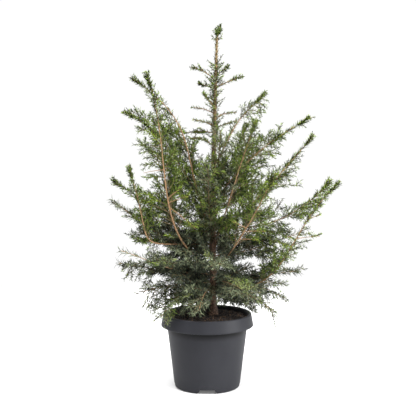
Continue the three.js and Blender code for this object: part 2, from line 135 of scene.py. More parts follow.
# Masses whose stem springs from the trunk itself: the same columns, without a bare share.
TRUNK_MASSES = [
    ("left_low", 318, 186, 243, 460, 18, 40),
    ("left_inner", 342, 168, 190, 380, 0, 25),
    ("right_inner", 322, 8, 222, 378, 3, 20),
    ("back_low", 300, 95, 240, 430, 15, 35),
    ("low_left", 275, 180, 232, 304, 0, 10),
    ("low_left_front", 278, 208, 244, 350, 0, 20),
    ("low_right", 265, 15, 219, 276, -5, 5),
    ("low_right_front", 262, 298, 188, 250, 5, -15),
    ("low_back", 250, 80, 180, 240, 5, -15),
    ("drooping_left", 255, 195, 193, 236, 5, -15),
    ("drooping_left_front", 250, 218, 155, 190, 8, -50),
    ("drooping_front", 245, 256, 140, 212, 10, -40),
    ("drooping_right", 252, 358, 180, 216, 10, -30),
    ("drooping_right_front", 231, 328, 174, 194, 10, -40),
    ("inner_front_low", 312, 276, 140, 322, 10, 10),
    ("inner_front", 352, 262, 92, 540, 35, 80),
    ("inner_front_high", 474, 285, 62, 630, 45, 80),
    ("upper_left_1", 590, 190, 58, 608, 40, -20),
    ("upper_left_2", 622, 165, 78, 622, 15, -10),
    ("upper_right_2", 632, 335, 58, 652, 30, 15),
    ("upper_left_3", 640, 205, 57, 655, 25, 10),
    ("upper_right_3", 657, 12, 54, 673, 40, 5),
    ("upper_left_4", 668, 172, 57, 685, 35, 5),
    ("upper_front_left", 678, 238, 50, 719, 65, 60),
    ("top_left_low", 728, 150, 48, 744, 30, 20),
    ("top_right", 731, 345, 67, 758, 30, 20),
    ("top_left", 748, 195, 60, 778, 45, 5),
    ("top_right_back", 758, 40, 40, 786, 45, 45),
]

# How side shoots stand on a stem of each kind: the source's rule, closer together, with twigs on each shoot.
# Millimetres and degrees. A sag is a share of the shoot's own length, underside the share of the roll that
# points down, and forward how far a shoot's needles lean at its foot.
Habit = namedtuple(
    "Habit",
    "pitch longest shortest share angle roll underside twig_pitch twig_longest sag needle forward fresh",
)
HABITS = {
    "bough": Habit(5.4, 110, 14, 0.42, 50, 150, 0.42, 26, 34, 0.03, 17, 0.05, 0.06),
    "low": Habit(5.8, 120, 32, 0.6, 50, 90, 0.28, 24, 42, 0.12, 20, 0.0, 0.02),
    "drooping": Habit(5.8, 105, 32, 0.6, 55, 130, 0.55, 24, 42, 0.25, 20, 0.0, 0.02),
    "inner": Habit(5.8, 80, 30, 0.55, 48, 120, 0.28, 25, 36, 0.0, 19, 0.0, 0.04),
    "top": Habit(4, 18, 10, 0.6, 24, 300, 0.45, 60, 0, -0.1, 11, 0.6, 0.1),
    "tip": Habit(6, 36, 20, 0.6, 10, 360, 0.5, 60, 0, -0.1, 12, 0.5, 0.08),
}

# Side shoots: where on the stem they end, how they crowd at its foot, get shorter and lie closer to it
# towards its tip, how far their size and angle change by chance, and the bare foot of long ones
SHOOTS_TO = 0.97
SHOOT_SIZE = 0.5
SHOOT_SIZE_CHANCE = 0.65
SHOOT_REACH = 1.2
SHOOT_ANGLE_CHANCE = 0.15
SHOOT_FALL = 1.5
SHOOT_CROWDING = 1.25
SHOOT_CLOSING = 0.4
SHOOT_BARE = 0.28
SHOOT_BARE_FROM = 48
SHOOT_CLEARANCE = 4
SHOOT_AGE = 0.3
INSIDE_TO = 0.4
FRESH_FROM = 0.72

# The longest needle of a shoot by its length, and how much shorter needles are at its tip
NEEDLE_LEAST = 7
NEEDLE_PER_LENGTH = 0.25
NEEDLE_FALL = 0.3

# Twigs on a side shoot: their place, angle, size and needles, with their share of chance
TWIGS_FROM = 0.8
TWIGS_TO = 0.92
TWIG_PLACE = 0.2
TWIG_PLACE_CHANCE = 0.7
TWIG_ANGLE = 45
TWIG_ANGLE_CHANCE = 0.25
TWIG_LIFT = 0.8
TWIG_DROP = 0.4
TWIG_SIZE = 0.65
TWIG_SIZE_CHANCE = 0.5
TWIG_LEAST = 8
TWIG_PER_LENGTH = 0.55
TWIG_NEEDLE = 0.95
TWIG_NEEDLE_FALL = 0.25
TWIG_AGE = 0.15
SHOOT_RADIUS = 0.85
TWIG_RADIUS = 0.6
TWIG_TIP_RADIUS = 0.35
SEED = 3

# Tufts on the boughs' tips
TIP_SHOOTS = 6
TIP_INSET = 8

# Masses on the trunk: the kinds by height, and their stems' bare foot, needles and leans
STEM_START = 1.3
INNER_STEM_RADIUS = 1.6
LOW_LEAN = 0.3
TOP_TIP_INSET = 4.8
TOP_THIN_TO = 0.6
TOP_THIN_LEAN = 0.7
TOP_LEAN = 0.6
TOP_TIP_FROM = 0.2
TOP_TIP_LEAN = 0.8
TOP_SHOOTS_FROM = 0.1
TOP_BARE = 0.42
UPPER_BARE = 0.1
LOW_TO = 330
TOP_FROM = 560
UPPER_FROM = 620
UPPER_TO = 670

# How long the side shoots are on boughs that are fuller or barer than most
LUSHNESS = {
    "left_front": 1.2, "left_tall": 0.8, "left_upper": 1.25, "left_elbow": 0.75,
    "right_middle": 0.9, "right_low": 0.5, "right_long": 1.2, "right_tall": 0.6,
    "drooping_right": 0.6, "drooping_right_front": 0.7, "drooping_left": 0.85,
}

# Stretches of a bough, as shares of its line, without side shoots
BARE_STRETCHES = {"right_upper": (0.66, 0.95), "right_middle": (0.72, 0.95), "right_tall": (0.44, 0.58)}

# Stretches of a bough, as shares of its line, where many sprays are fresh
FRESH_PATCHES = {"left_elbow": (0.74, 0.87), "right_front": (0.82, 1), "left_front": (0.36, 0.42)}
FRESH_PATCH_SHARE = 0.4

# Thin light shoots that stand out on a bough: share of its line, and how far they go right, back and up
LIGHT_SHOOTS = {
    "left_front": [(0.43, 30, -20, 27), (0.41, 50, -26, 23), (0.39, 63, -28, -42), (0.56, -48, 4, -4)],
    "right_front": [(0.42, 42, -20, 4), (0.5, 46, -24, 6), (0.53, -32, -16, 20)],
    "right_low": [(0.73, 26, -10, 12), (0.6, 56, -10, 12)],
}
LIGHT_SHOOT_RADIUS = 1.0
LIGHT_SHOOT_BARE = 0.6
LIGHT_SHOOT_SAG = 0.08

# Dense sprays to the side of a bough or stem: the same columns
SIDE_SPRAYS = {
    "left_front": [
        (0.66, -62, 4, 8), (0.585, -48, 6, 0), (0.6, -30, -6, -4), (0.525, -50, 6, 2), (0.46, -44, 6, -6),
    ],
    "left_tall": [(0.74, -18, -6, -30), (0.76, 10, -5, 14)],
    "left_upper": [
        (0.62, -40, -10, -22), (0.5, -30, -20, -38), (0.6, -45, -5, 2), (0.72, 8, -5, 42),
        (0.76, -24, 0, 46), (0.78, 8, 0, 32), (0.85, -12, 0, 34),
    ],
    "left_elbow": [(0.45, -10, -6, -16)],
    "right_tall": [
        (0.62, 40, -8, -10), (0.65, 30, -8, 2), (0.72, 34, -8, -6), (0.8, 26, -8, -14), (0.82, 24, -8, -4),
        (0.86, 20, -6, -16), (0.9, 18, -5, -6),
    ],
    "right_front_tall": [(0.84, 22, -6, 22), (0.8, -12, -6, 34), (0.9, 14, -4, 24), (0.9, -12, -4, 20)],
    "back_right": [(0.7, -12, -10, 24), (0.8, -16, -10, 10)],
    "right_upper": [
        (0.44, 20, -6, -2), (0.48, 34, -10, 2), (0.5, 40, -10, -2), (0.58, 22, 6, 14), (0.54, 44, -10, -8),
        (0.6, 18, 6, 34), (0.62, 24, 4, 30), (0.64, 20, 6, 22), (0.68, 22, 6, 16), (0.72, 26, 6, 18),
        (0.86, 24, 4, 18),
    ],
    "right_middle": [
        (0.5, 16, -5, 40), (0.55, 70, -10, -2), (0.48, 14, -8, 24), (0.46, 26, -8, -12), (0.5, 26, -8, -4),
        (0.53, 40, -10, 2), (0.62, 36, -10, 4), (0.7, 20, 4, 30), (0.72, 26, -8, 10), (0.76, 22, 4, 28),
    ],
    "right_long": [
        (0.45, 30, -20, -4), (0.55, 24, -10, 24), (0.65, 20, -10, 20), (0.5, 22, -20, -28),
        (0.55, 24, -20, -34), (0.72, 34, -40, 12), (0.8, 30, -36, 16), (0.86, 26, -30, 20),
    ],
    "right_low": [(0.52, 24, -5, 12), (0.56, 40, -5, 14), (0.62, 30, -5, 8)],
    "left_inner": [(0.7, -30, -20, -26), (0.9, -24, -20, 4)],
    "low_left": [
        (0.6, -20, -10, -30), (0.65, -20, -10, -36), (0.8, -30, -10, -22), (0.75, -14, -10, -24),
        (0.85, -16, -8, -22), (0.92, -10, -8, -12),
    ],
    "low_left_front": [(0.6, -10, -5, 40), (0.7, -30, -5, 30)],
    "low_right": [(0.45, 10, -20, 25), (0.5, 30, -20, -40)],
    "low_back": [(0.3, 70, -10, -48), (0.35, 46, 0, -50), (0.4, 60, 0, -62), (0.5, 20, 0, -54)],
    "right_inner": [(0.5, 20, -10, -30), (0.62, 14, -10, -26)],
    "drooping_left": [
        (0.5, -10, -20, -20), (0.62, 2, -20, -30), (0.72, -6, -25, -50), (0.75, -10, -25, -45),
    ],
    "drooping_left_front": [(0.6, -50, -5, -22), (0.8, -40, -5, -5)],
    "drooping_right": [(0.45, 30, -10, -18), (0.6, 20, -10, -22), (0.55, 24, -10, -38), (0.35, 14, 0, -46)],
    "drooping_right_front": [(0.55, 8, 6, -30), (0.62, 6, 4, -26), (0.7, 20, 0, 10)],
    "top_left_low": [(0.3, -10, -4, 10), (0.5, -4, -4, 12)],
    "top_right": [(0.2, 8, -4, 10)],
}

# Boughs whose shoots hang more than most: the share of the roll that points down
HANGING = {"right_long": 0.55}

# Where the photograph shows plain white, bark or compost between the sprays: the middle and half size of
# each view, on the upright plane through the pot's axis
OPEN_VIEWS = [
    (-10, 589, 18, 19), (-59, 671, 27, 24), (-27, 652, 22, 15), (-85, 697, 17, 17), (-42, 693, 24, 24),
    (-95, 717, 17, 22), (60, 673, 22, 24), (46, 638, 11, 13), (137, 632, 12, 16), (157, 555, 16, 7),
    (-150, 499, 12, 8), (-194, 332, 44, 22), (-111, 342, 15, 10), (112, 314, 22, 9), (-230, 355, 15, 12),
    (192, 362, 20, 9), (-128, 270, 12, 8), (222, 402, 16, 9), (-190, 446, 14, 8), (203, 271, 34, 12),
    (-208, 465, 34, 12), (-186, 396, 20, 15), (-165, 224, 25, 14), (-142, 531, 14, 9), (-42, 628, 10, 12),
    (207, 475, 54, 10), (219, 379, 17, 12), (140, 171, 26, 12), (-233, 313, 29, 12), (46, 175, 62, 18),
    (15, 224, 11, 50), (17, 352, 17, 29),
]

# Which share of the sprays takes which tint, added up
TINT_SHARES = {
    "low": (("grey", 0.68), ("olive", 0.82), ("deep", 0.94), ("pale", 1)),
    "drooping": (("grey", 0.6), ("olive", 0.82), ("deep", 0.93), ("pale", 1)),
    # Sprays inside the low masses mostly take the painted shade tint, a darker tint where shade falls among
    # them
    "low_inside": (("dusk", 0.7), ("grey", 1)),
    "inner": (("green", 0.32), ("deep", 0.62), ("grey", 1)),
    "bough_inside": (("deep", 0.45), ("grey", 0.6), ("green", 1)),
    "bough_outside": (("green", 0.5), ("deep", 0.97), ("fresh", 1)),
    "top": (("deep", 0.7), ("green", 1)),
}
TINTS = {
    "deep": ((0.01, 0.0175, 0.0035), (0.098, 0.142, 0.026)),
    "green": ((0.023, 0.039, 0.005), (0.174, 0.245, 0.037)),
    "grey": ((0.013, 0.0175, 0.009), (0.146, 0.171, 0.096)),
    # The next tint is painted shade: a darker tint for the sprays inside the low masses and at the trunk's
    # foot
    "dusk": ((0.006, 0.009, 0.005), (0.062, 0.076, 0.044)),
    "olive": ((0.024, 0.034, 0.01), (0.178, 0.216, 0.064)),
    "pale": ((0.06, 0.075, 0.036), (0.2, 0.235, 0.13)),
    "fresh": ((0.12, 0.18, 0.008), (0.27, 0.37, 0.025)),
}

# How low shoots may hang over the pot and beside it
LOWEST_OVER_POT = 188
LOWEST_BESIDE_POT = 165

# Short shoots from the trunk in the crown's middle
INNER_SHOOTS = 70
INNER_HEIGHTS = (320, 505)
INNER_RISE = 30
INNER_RISE_CHANCE = 0.6
INNER_SHOOT_LENGTH = 70
TRUNK_SHOOT_CHANCE = 0.35

# Shoots that hang from the trunk's foot
FOOT_SHOOTS = 34
FOOT_HEIGHTS = (210, 258)
FOOT_SHOOT_LENGTH = 92
FOOT_SHOOT_RISE = 0.15

# Lines of needles on the leader's bark: from and to which height, length and lean. Below a height they have
# needles of other tints between them.
LEADER_LINES = 3
LEADER_ROWS = ((690, TRUNK_TOP, 10, 0.7), (640, 700, 12, 0.5), (520, 650, 13, 0.4))
LEADER_MIXED_TO = 700

# Buds on the leader: height and azimuth
LEADER_BUDS = [
    (845, 190), (846, 350), (778, 330), (757, 300), (765, 20), (745, 350), (735, 10), (690, 190),
    (702, 215), (712, 165), (722, 200), (732, 235), (740, 175), (748, 205), (756, 160),
]
BUD_LENGTH = 11
BUD_RISES = (0.3, 0.9)

# The tuft on the leader's tip, by shares of its height
TUFT_LINES = 30
TUFT_ROOTS_TO = 0.3
TUFT_FROM = 0.4
TUFT_TO = 0.88
TUFT_RADIUS = 10
TUFT_TIP_RADIUS = 1.5
TUFT_NEEDLE = 9
TUFT_NEEDLE_FALL = 2
TUFT_OFFSET = np.array([-3.0, 0.0, 0.0])

# Short shoots all round the leader
LEADER_SHOOTS = 54
LEADER_SHOOT_HEIGHTS = (630, 790)
LEADER_SHOOT_LENGTH = 20
LEADER_SHOOT_RISE = 0.7
LEADER_SHOOT_TINTS = ("grey", "deep", "green", "green")
LEADER_TIP_RADIUS = 2.2

# How far shoots may end outside the solids' box
OVERHANG = 5

# Bark: dark and light tone, and how deep its grain looks
TWIG_BARK = ((0.06, 0.042, 0.014), (0.15, 0.105, 0.04))
LEADER_BARK = ((0.13, 0.075, 0.032), (0.28, 0.18, 0.085))
YOUNG_BARK = ((0.15, 0.078, 0.029), (0.34, 0.205, 0.095))
OLDER_BARK = ((0.1, 0.05, 0.022), (0.24, 0.135, 0.065))
OLD_BARK = ((0.045, 0.025, 0.0155), (0.28, 0.166, 0.104))
BARK_BUMP = 0.6

# Limbs: sides of the tube, relief as a share of its thickness, and the flakes' size in metres
TRUNK_TUBE = (44, 0.22, 0.006)
BOUGH_TUBE = (9, 0.2, 0.004)
TWIG_TUBE = (4, 0.0, 0.004)
FLAKE_SQUEEZE = (1.0, 1.0, 0.55)

# Their grain: how many to the metre, how rough and how deep
TRUNK_GRAIN = (260.0, 0.85, 0.001)
BOUGH_GRAIN = (420.0, 0.7, 0.0006)
TWIG_GRAIN = (420.0, 0.7, 0.0004)

# Needles show their green upper face or their pale underside: each spray has both, in two tints.
UNDERSIDES = {
    "deep": "green", "green": "deep", "grey": "grey", "dusk": "dusk", "olive": "grey", "pale": "grey",
    "fresh": "green",
}

# Needles: width and spacing in metres, lean in degrees from the shoot, spin by chance in radians, shortest
# and longest as shares, and a seed for each kind
NEEDLE_WIDTH = 0.0021
UPPER_SPACING = 0.0026
UNDER_SPACING = 0.0052
BARE_SPACING = 0.0024
LEADER_SPACING = 0.0024
NEEDLE_LEAN_FOOT = 58
NEEDLE_LEAN_TIP = 28
NEEDLE_LEAN_CHANCE = 14
NEEDLE_SPIN_CHANCE = 0.6
NEEDLE_LENGTHS = (0.65, 1.15)
UPPER_SEED = 40
UNDER_SEED = 60
BARE_SEED = 80
LEADER_SEED = 81

# The longest line of needles that one piece takes, in millimetres
BATCH_LENGTH = 100000

# The needles' finish: the size of its mottling, where the two tones meet, and its gloss
NEEDLE_MOTTLE = 60.0
NEEDLE_RAMP = (0.36, 0.7)
NEEDLE_ROUGHNESS = 0.55
NEEDLE_SHINE = 0.18

# Pot, in millimetres
POT_HEIGHT = 182
FOOT_RADIUS = 81.5
FOOT_ROUND = 6
NECK_RADIUS = 98.8
NECK_HEIGHT = 150
MOUTH_RADIUS = 102.4
RIM_RADIUS = 108.4
LIP_RADIUS = 114.4
LIP_HEIGHT = 153
LIP_DROP = 3
LIP_ROLL = 5.5
SKIRT_WALL = 2.4
POT_WALL = 2.2
POT_SEGMENTS = 144
BEND_POINTS = 7
SHARP_FROM = 38
NOTCH_WIDTH = 35
NOTCH_FLARE = 7
NOTCH_HEIGHT = 10
NOTCH_DEPTH = 36
NOTCH_COVER = 3
NOTCH_OVERCUT = 12
NOTCH_SIDE = ((1, -2), (0.85, 1), (0.3, 5), (0, NOTCH_HEIGHT))

# The plastic's gloss and tones, and the painted shade under the lip: its dark tone and how far below the lip
# it reaches
POT_SHINE = 0.12
POT_TONES = ((0.017, 0.0175, 0.0211), (0.022, 0.0226, 0.0268))
POT_PAINTED_SHADE = (0.0015, 0.0015, 0.002)
POT_PAINTED_SHADE_HEIGHT = 24
POT_ROUGHNESS = (0.45, 0.55)
POT_CLOUDS = 9.0
POT_GRAIN = 1400.0

# Compost, in millimetres: its level middle, its dish below, and its lumps' height, waves and seed
SOIL_MIDDLE = 40
SOIL_MIDDLE_RISE = 2
SOIL_EDGE_RISE = 3
SOIL_DISH = 150
SOIL_RINGS = 34
SOIL_AROUND = 120
SOIL_LUMPS = ((1.1, 0.03, 4), (1.6, 0.16, 9), (0.8, 0.4, 2))
PEAT_TONES = ((0.003, 0.0018, 0.0012), (0.034, 0.022, 0.015))
CHIP_TONES = ((0.04, 0.022, 0.012), (0.14, 0.085, 0.05))
COMPOST_GRAIN = 320.0

# Crumbs and chips on it: how many to the square metre, smallest and largest in metres, and a seed
PEAT_CRUMBS = (38000, 0.0009, 0.0032, 7)
BARK_CHIPS = (7000, 0.0008, 0.003, 9)
CRUMB_TURNS = (6.28, 6.28, 6.28)
CRUMB_SLOPE = 0.3
CRUMB_PUSH = 0.45
CRUMB_WAVES = 1.7
CRUMB_FLATNESS = 0.7

# Camera, fitted to the photograph
CAMERA_PLACE = (0.0019, -2.118, 0.614)
CAMERA_PITCH = 4.68
CAMERA_LENS = 75.4
CAMERA_SENSOR = 36

# White floor with a faint glow: half its width in metres, and its finish
FLOOR = 1.4
FLOOR_FINISH = {
    "Base Color": (0.6, 0.6, 0.6, 1),
    "Emission Color": WHITE,
    "Emission Strength": 0.15,
    "Roughness": 0.9,
    "Specular IOR Level": 0.0,
}

# The studio's light by direction: right, back and up are brighter, front left is dimmer
SKY_SLOPE = (0.35, 0.25, 0.55)
SKY_LEVEL = 0.75
SKY_LEAST = 0.15
BACKDROP_LIGHT = 1.02

# Lamps: place, size, power, and whether they light the surfaces or only shine in them
LAMPS = [
    ("key", (2.4, -1.8, 2.2), 1.4, 180, True),
    ("top", (-0.5, -0.5, 3.0), 2.0, 225, True),
    ("card", (1.8, -0.8, 0.4), 1.0, 42, False),
]
LAMPS_AIM = (0, 0, 0.4)


# Small helpers

def number_stream(seed):
    """A repeatable stream of numbers from 0 to 1 (mulberry32), as in the source."""
    state = seed & 0xFFFFFFFF
    while True:
        state = (state + 0x6D2B79F5) & 0xFFFFFFFF
        mixed = ((state ^ (state >> 15)) * (state | 1)) & 0xFFFFFFFF
        mixed ^= (mixed + ((mixed ^ (mixed >> 7)) * (mixed | 61))) & 0xFFFFFFFF
        yield ((mixed ^ (mixed >> 14)) & 0xFFFFFFFF) / 4294967296


def unit(vector):
    return vector / np.linalg.norm(vector)


def blend(low, high, share):
    return low + (high - low) * share


def level(spin):
    """The level way out from the axis at an angle seen from above."""
    return np.array([math.cos(spin), math.sin(spin), 0.0])


def new_mesh(name, corners, faces, edges=()):
    mesh = bpy.data.meshes.new(name)
    mesh.from_pydata(corners, edges, faces)
    return mesh


def link_mesh(name, mesh):
    piece = bpy.data.objects.new(name, mesh)
    bpy.context.scene.collection.objects.link(piece)
    return piece


# Node trees

def socket(sockets, name=None):
    """The socket with a name, or the first one in use."""
    return next(s for s in sockets if s.enabled and name in (None, s.name))


class Nodes:
    """A node tree that is written one node at a time."""

    def __init__(self, tree):
        self.tree = tree

    def put(self, target, value):
        """Links an input to what another node gives, or sets it to a plain value."""
        if isinstance(value, bpy.types.NodeSocket):
            self.tree.links.new(value, target)
        else:
            target.default_value = value

    def add(self, kind, inputs=None, gives=None, **settings):
        """Adds a node with its inputs by name or number. Gives back a named output, or the first one."""
        node = self.tree.nodes.new(kind)
        for key, value in settings.items():
            setattr(node, key, value)
        for key, value in (inputs or {}).items():
            self.put(node.inputs[key] if isinstance(key, int) else socket(node.inputs, key), value)
        return socket(node.outputs, gives)

    def math(self, operation, first, second):
        return self.add("ShaderNodeMath", {0: first, 1: second}, operation=operation)


class GrowthTree(Nodes):
    """A geometry tree with named inputs, which makes pieces from meshes."""

    def __init__(self, name, inputs):
        super().__init__(bpy.data.node_groups.new(name, "GeometryNodeTree"))
        sockets = self.tree.interface
        for label, kind in {"Geometry": "Geometry", **inputs, "Material": "Material"}.items():
            sockets.new_socket(label, in_out="INPUT", socket_type="NodeSocket" + kind)
        sockets.new_socket("Geometry", in_out="OUTPUT", socket_type="NodeSocketGeometry")
        self.given = self.tree.nodes.new("NodeGroupInput").outputs

    def named(self, name):
        return self.add("GeometryNodeInputNamedAttribute", {"Name": name}, data_type="FLOAT")

    def chance(self, low, high, seed):
        inputs = {"Min": low, "Max": high, "Seed": seed}
        return self.add("FunctionNodeRandomValue", inputs, data_type="FLOAT")

    def rotation(self, angles):
        return self.add("FunctionNodeEulerToRotation", {"Euler": angles})

    def turned_about(self, rotation, axis, angle):
        """A rotation turned further about one of its own axes."""
        turn = self.rotation(self.add("ShaderNodeCombineXYZ", {axis: angle}))
        inputs = {"Rotation": rotation, "Rotate By": turn}
        return self.add("FunctionNodeRotateRotation", inputs, rotation_space="LOCAL")

    def copies(self, shape, points, rotation, scale):
        """A copy of an object on each point."""
        copied = self.add("GeometryNodeObjectInfo", {"Object": self.given[shape]}, gives="Geometry")
        inputs = {"Points": points, "Instance": copied, "Rotation": rotation, "Scale": scale}
        return self.add("GeometryNodeInstanceOnPoints", inputs)

    def ended(self, geometry):
        """The tree with its end: instances made real, and the material set."""
        real = self.add("GeometryNodeRealizeInstances", {"Geometry": geometry})
        dressed = self.add("GeometryNodeSetMaterial", {"Geometry": real, "Material": self.given["Material"]})
        self.put(self.tree.nodes.new("NodeGroupOutput").inputs["Geometry"], dressed)
        return self

    def grow(self, name, mesh, values):
        """The piece that the tree makes from a mesh, as a plain mesh."""
        piece = link_mesh(name, mesh)
        modifier = piece.modifiers.new(self.tree.name, "NODES")
        modifier.node_group = self.tree
        for item in self.tree.interface.items_tree:
            if item.item_type == "SOCKET" and item.in_out == "INPUT" and item.name in values:
                modifier[item.identifier] = values[item.name]
        keep_result(piece)
        return piece


def keep_result(piece):
    """Leaves what a piece's modifiers make of it as its plain mesh."""
    graph = bpy.context.evaluated_depsgraph_get()
    mesh = bpy.data.meshes.new_from_object(piece.evaluated_get(graph), depsgraph=graph)
    piece.modifiers.clear()
    piece.data = mesh


def needle_tree():
    """Needles in a spiral along each shoot, leaning forward more towards its tip."""
    tree = GrowthTree("Needles along shoots", {
        "Needle": "Object", "Spacing": "Float", "Width": "Float",
        "Lean at foot": "Float", "Lean at tip": "Float", "Seed": "Int",
    })
    given = tree.given
    curve = tree.add("GeometryNodeMeshToCurve", {"Mesh": given["Geometry"]})
    inputs = {"Curve": curve, "Length": given["Spacing"]}
    points = tree.add("GeometryNodeCurveToPoints", inputs, mode="LENGTH")
    golden = tree.math("MULTIPLY", tree.add("GeometryNodeInputIndex"), GOLDEN_ANGLE)
    spin = tree.math("ADD", golden, tree.chance(-NEEDLE_SPIN_CHANCE, NEEDLE_SPIN_CHANCE, given["Seed"]))
    spun = tree.turned_about(points.node.outputs["Rotation"], "Z", spin)
    inputs = {"Value": tree.named("share"), "To Min": given["Lean at foot"], "To Max": given["Lean at tip"]}
    lean = tree.add("ShaderNodeMapRange", inputs)
    chance = math.radians(NEEDLE_LEAN_CHANCE)
    leant = tree.turned_about(spun, "X", tree.math("ADD", lean, tree.chance(-chance, chance, seed=11)))
    length = tree.math("MULTIPLY", tree.named("needle"), tree.chance(*NEEDLE_LENGTHS, seed=23))
    size = tree.add("ShaderNodeCombineXYZ", {"X": given["Width"], "Y": given["Width"], "Z": length})
    needles = tree.copies("Needle", points, leant, size)
    inputs = {"Geometry": needles, "Name": "tone", "Value": tree.chance(0.0, 1.0, seed=37)}
    toned = tree.add("GeometryNodeStoreNamedAttribute", inputs, data_type="FLOAT", domain="INSTANCE")
    return tree.ended(toned)


def limb_tree():
    """A round limb along each line. The bark's flaky relief is a share of the limb's thickness."""
    tree = GrowthTree("Limbs along lines", {"Sides": "Int", "Relief": "Float", "Flake size": "Float"})
    given = tree.given
    curve = tree.add("GeometryNodeMeshToCurve", {"Mesh": given["Geometry"]})
    ring = tree.add("GeometryNodeCurvePrimitiveCircle", {"Resolution": given["Sides"], "Radius": 1.0})
    inputs = {"Curve": curve, "Profile Curve": ring, "Scale": tree.named("thickness"), "Fill Caps": True}
    tube = tree.add("GeometryNodeCurveToMesh", inputs)
    place = tree.add("GeometryNodeInputPosition")
    squeezed = tree.add("ShaderNodeVectorMath", {0: place, 1: FLAKE_SQUEEZE}, operation="MULTIPLY")
    pattern = {"Vector": squeezed, "Scale": tree.math("DIVIDE", 1.0, given["Flake size"])}
    flakes = tree.add("ShaderNodeTexVoronoi", {**pattern, "Randomness": 1.0}, feature="F1")
    fibres = tree.add("ShaderNodeTexNoise", {**pattern, "Detail": 4.0})
    rough = tree.math("SUBTRACT", fibres, flakes)
    depth = tree.math("MULTIPLY", rough, tree.math("MULTIPLY", given["Relief"], tree.named("thickness")))
    inputs = {"Vector": tree.add("GeometryNodeInputNormal"), "Scale": depth}
    lift = tree.add("ShaderNodeVectorMath", inputs, operation="SCALE")
    moved = tree.add("GeometryNodeSetPosition", {"Geometry": tube, "Offset": lift})
    return tree.ended(tree.add("GeometryNodeSetShadeSmooth", {"Geometry": moved}))


def crumb_tree():
    """Crumbs strewn over a surface, each turned and sized by chance."""
    tree = GrowthTree("Crumbs on a surface", {
        "Crumb": "Object", "Per square metre": "Float",
        "Smallest": "Float", "Largest": "Float", "Seed": "Int",
    })
    given = tree.given
    facing = tree.add("ShaderNodeSeparateXYZ", {"Vector": tree.add("GeometryNodeInputNormal")}, gives="Z")
    inputs = {
        "Mesh": given["Geometry"],
        "Selection": tree.math("GREATER_THAN", facing, CRUMB_SLOPE),
        "Density": given["Per square metre"],
        "Seed": given["Seed"],
    }
    points = tree.add("GeometryNodeDistributePointsOnFaces", inputs, distribute_method="RANDOM")
    turn = tree.add("FunctionNodeRandomValue", {"Max": CRUMB_TURNS}, data_type="FLOAT_VECTOR")
    size = tree.chance(given["Smallest"], given["Largest"], seed=5)
    return tree.ended(tree.copies("Crumb", points, tree.rotation(turn), size))


# Finishes

class Finish(Nodes):
    """A material, with plain values for its shader's inputs."""

    def __init__(self, name, values):
        self.material = bpy.data.materials.new(name)
        self.material.use_nodes = True
        super().__init__(self.material.node_tree)
        for key, value in values.items():
            self.give(key, value)

    def give(self, name, value):
        self.put(self.tree.nodes["Principled BSDF"].inputs[name], value)

    def place(self):
        return self.add("ShaderNodeTexCoord", gives="Object")

    def clouds(self, scale, detail=3.0):
        return self.add("ShaderNodeTexNoise", {"Vector": self.place(), "Scale": scale, "Detail": detail})

    def carried(self, name):
        """A value that the piece carries as an attribute."""
        return self.add("ShaderNodeAttribute", gives="Fac", attribute_name=name)

    def two_tone(self, factor, first, second, low=0.35, high=0.65):
        colour = self.add("ShaderNodeValToRGB", {"Fac": factor})
        for element, place, tone in zip(colour.node.color_ramp.elements, (low, high), (first, second)):
            element.position = place
            element.color = (*tone, 1)
        return colour

    def mixed(self, factor, first, second):
        return self.add("ShaderNodeMix", {"Factor": factor, "A": first, "B": second}, data_type="RGBA")

    def bump(self, height, strength, distance):
        inputs = {"Height": height, "Strength": strength, "Distance": distance}
        self.give("Normal", self.add("ShaderNodeBump", inputs))


def needle_finish(name, shade, light):
    """Two tones that change from place to place and from needle to needle."""
    finish = Finish(name, {"Roughness": NEEDLE_ROUGHNESS, "Specular IOR Level": NEEDLE_SHINE})
    own_tone = finish.math("SUBTRACT", finish.carried("tone"), 0.5)
    tone = finish.math("ADD", finish.clouds(NEEDLE_MOTTLE), own_tone)
    finish.give("Base Color", finish.two_tone(tone, shade, light, *NEEDLE_RAMP))
    return finish.material


def bark_finish(name, young, old, grain_size, roughness, depth):
    """Young bark's two tones give way to old bark's with age, which each limb carries as an attribute."""
    finish = Finish(name, {"Roughness": roughness})
    grain = finish.clouds(grain_size, 5.0)
    ages = [finish.two_tone(grain, *tones) for tones in (young, old)]
    finish.give("Base Color", finish.mixed(finish.carried("age"), *ages))
    finish.bump(grain, BARK_BUMP, depth)
    return finish.material


def pot_finish():
    """Faintly clouded satin plastic with a fine grain, and painted shade on the wall below the lip."""
    finish = Finish("Satin anthracite plastic", {"Specular IOR Level": POT_SHINE})
    cloud = finish.clouds(POT_CLOUDS, 4.0)
    height = finish.add("ShaderNodeSeparateXYZ", {"Vector": finish.place()}, gives="Z")
    lip = LIP_HEIGHT - LIP_DROP
    # Painted shade: the wall darkens towards the lip's lower edge, where the lip's shadow falls
    inputs = {"Value": height, "From Min": MM * (LIP_HEIGHT - POT_PAINTED_SHADE_HEIGHT), "From Max": MM * (lip - 2)}
    lip_shadow_ramp = finish.add("ShaderNodeMapRange", inputs, interpolation_type="SMOOTHSTEP")
    shade = finish.math("MULTIPLY", lip_shadow_ramp, finish.math("LESS_THAN", height, MM * (lip - 1)))
    plastic = finish.two_tone(cloud, *POT_TONES)
    finish.give("Base Color", finish.mixed(shade, plastic, (*POT_PAINTED_SHADE, 1)))
    smooth, dull = POT_ROUGHNESS
    inputs = {"Value": cloud, "To Min": smooth, "To Max": dull}
    finish.give("Roughness", finish.add("ShaderNodeMapRange", inputs))
    finish.bump(finish.clouds(POT_GRAIN, 2.0), strength=0.12, distance=0.0004)
    return finish.material


def compost_finish(name, dark, light):
    finish = Finish(name, {"Roughness": 0.95})
    lumps = finish.clouds(COMPOST_GRAIN, 5.0)
    finish.give("Base Color", finish.two_tone(lumps, dark, light))
    finish.bump(lumps, strength=0.8, distance=0.002)
    return finish.material


# The crown's rule, in millimetres

def trunk_share(height):
    return (height - SOIL_TOP) / (TRUNK_TOP - SOIL_TOP)


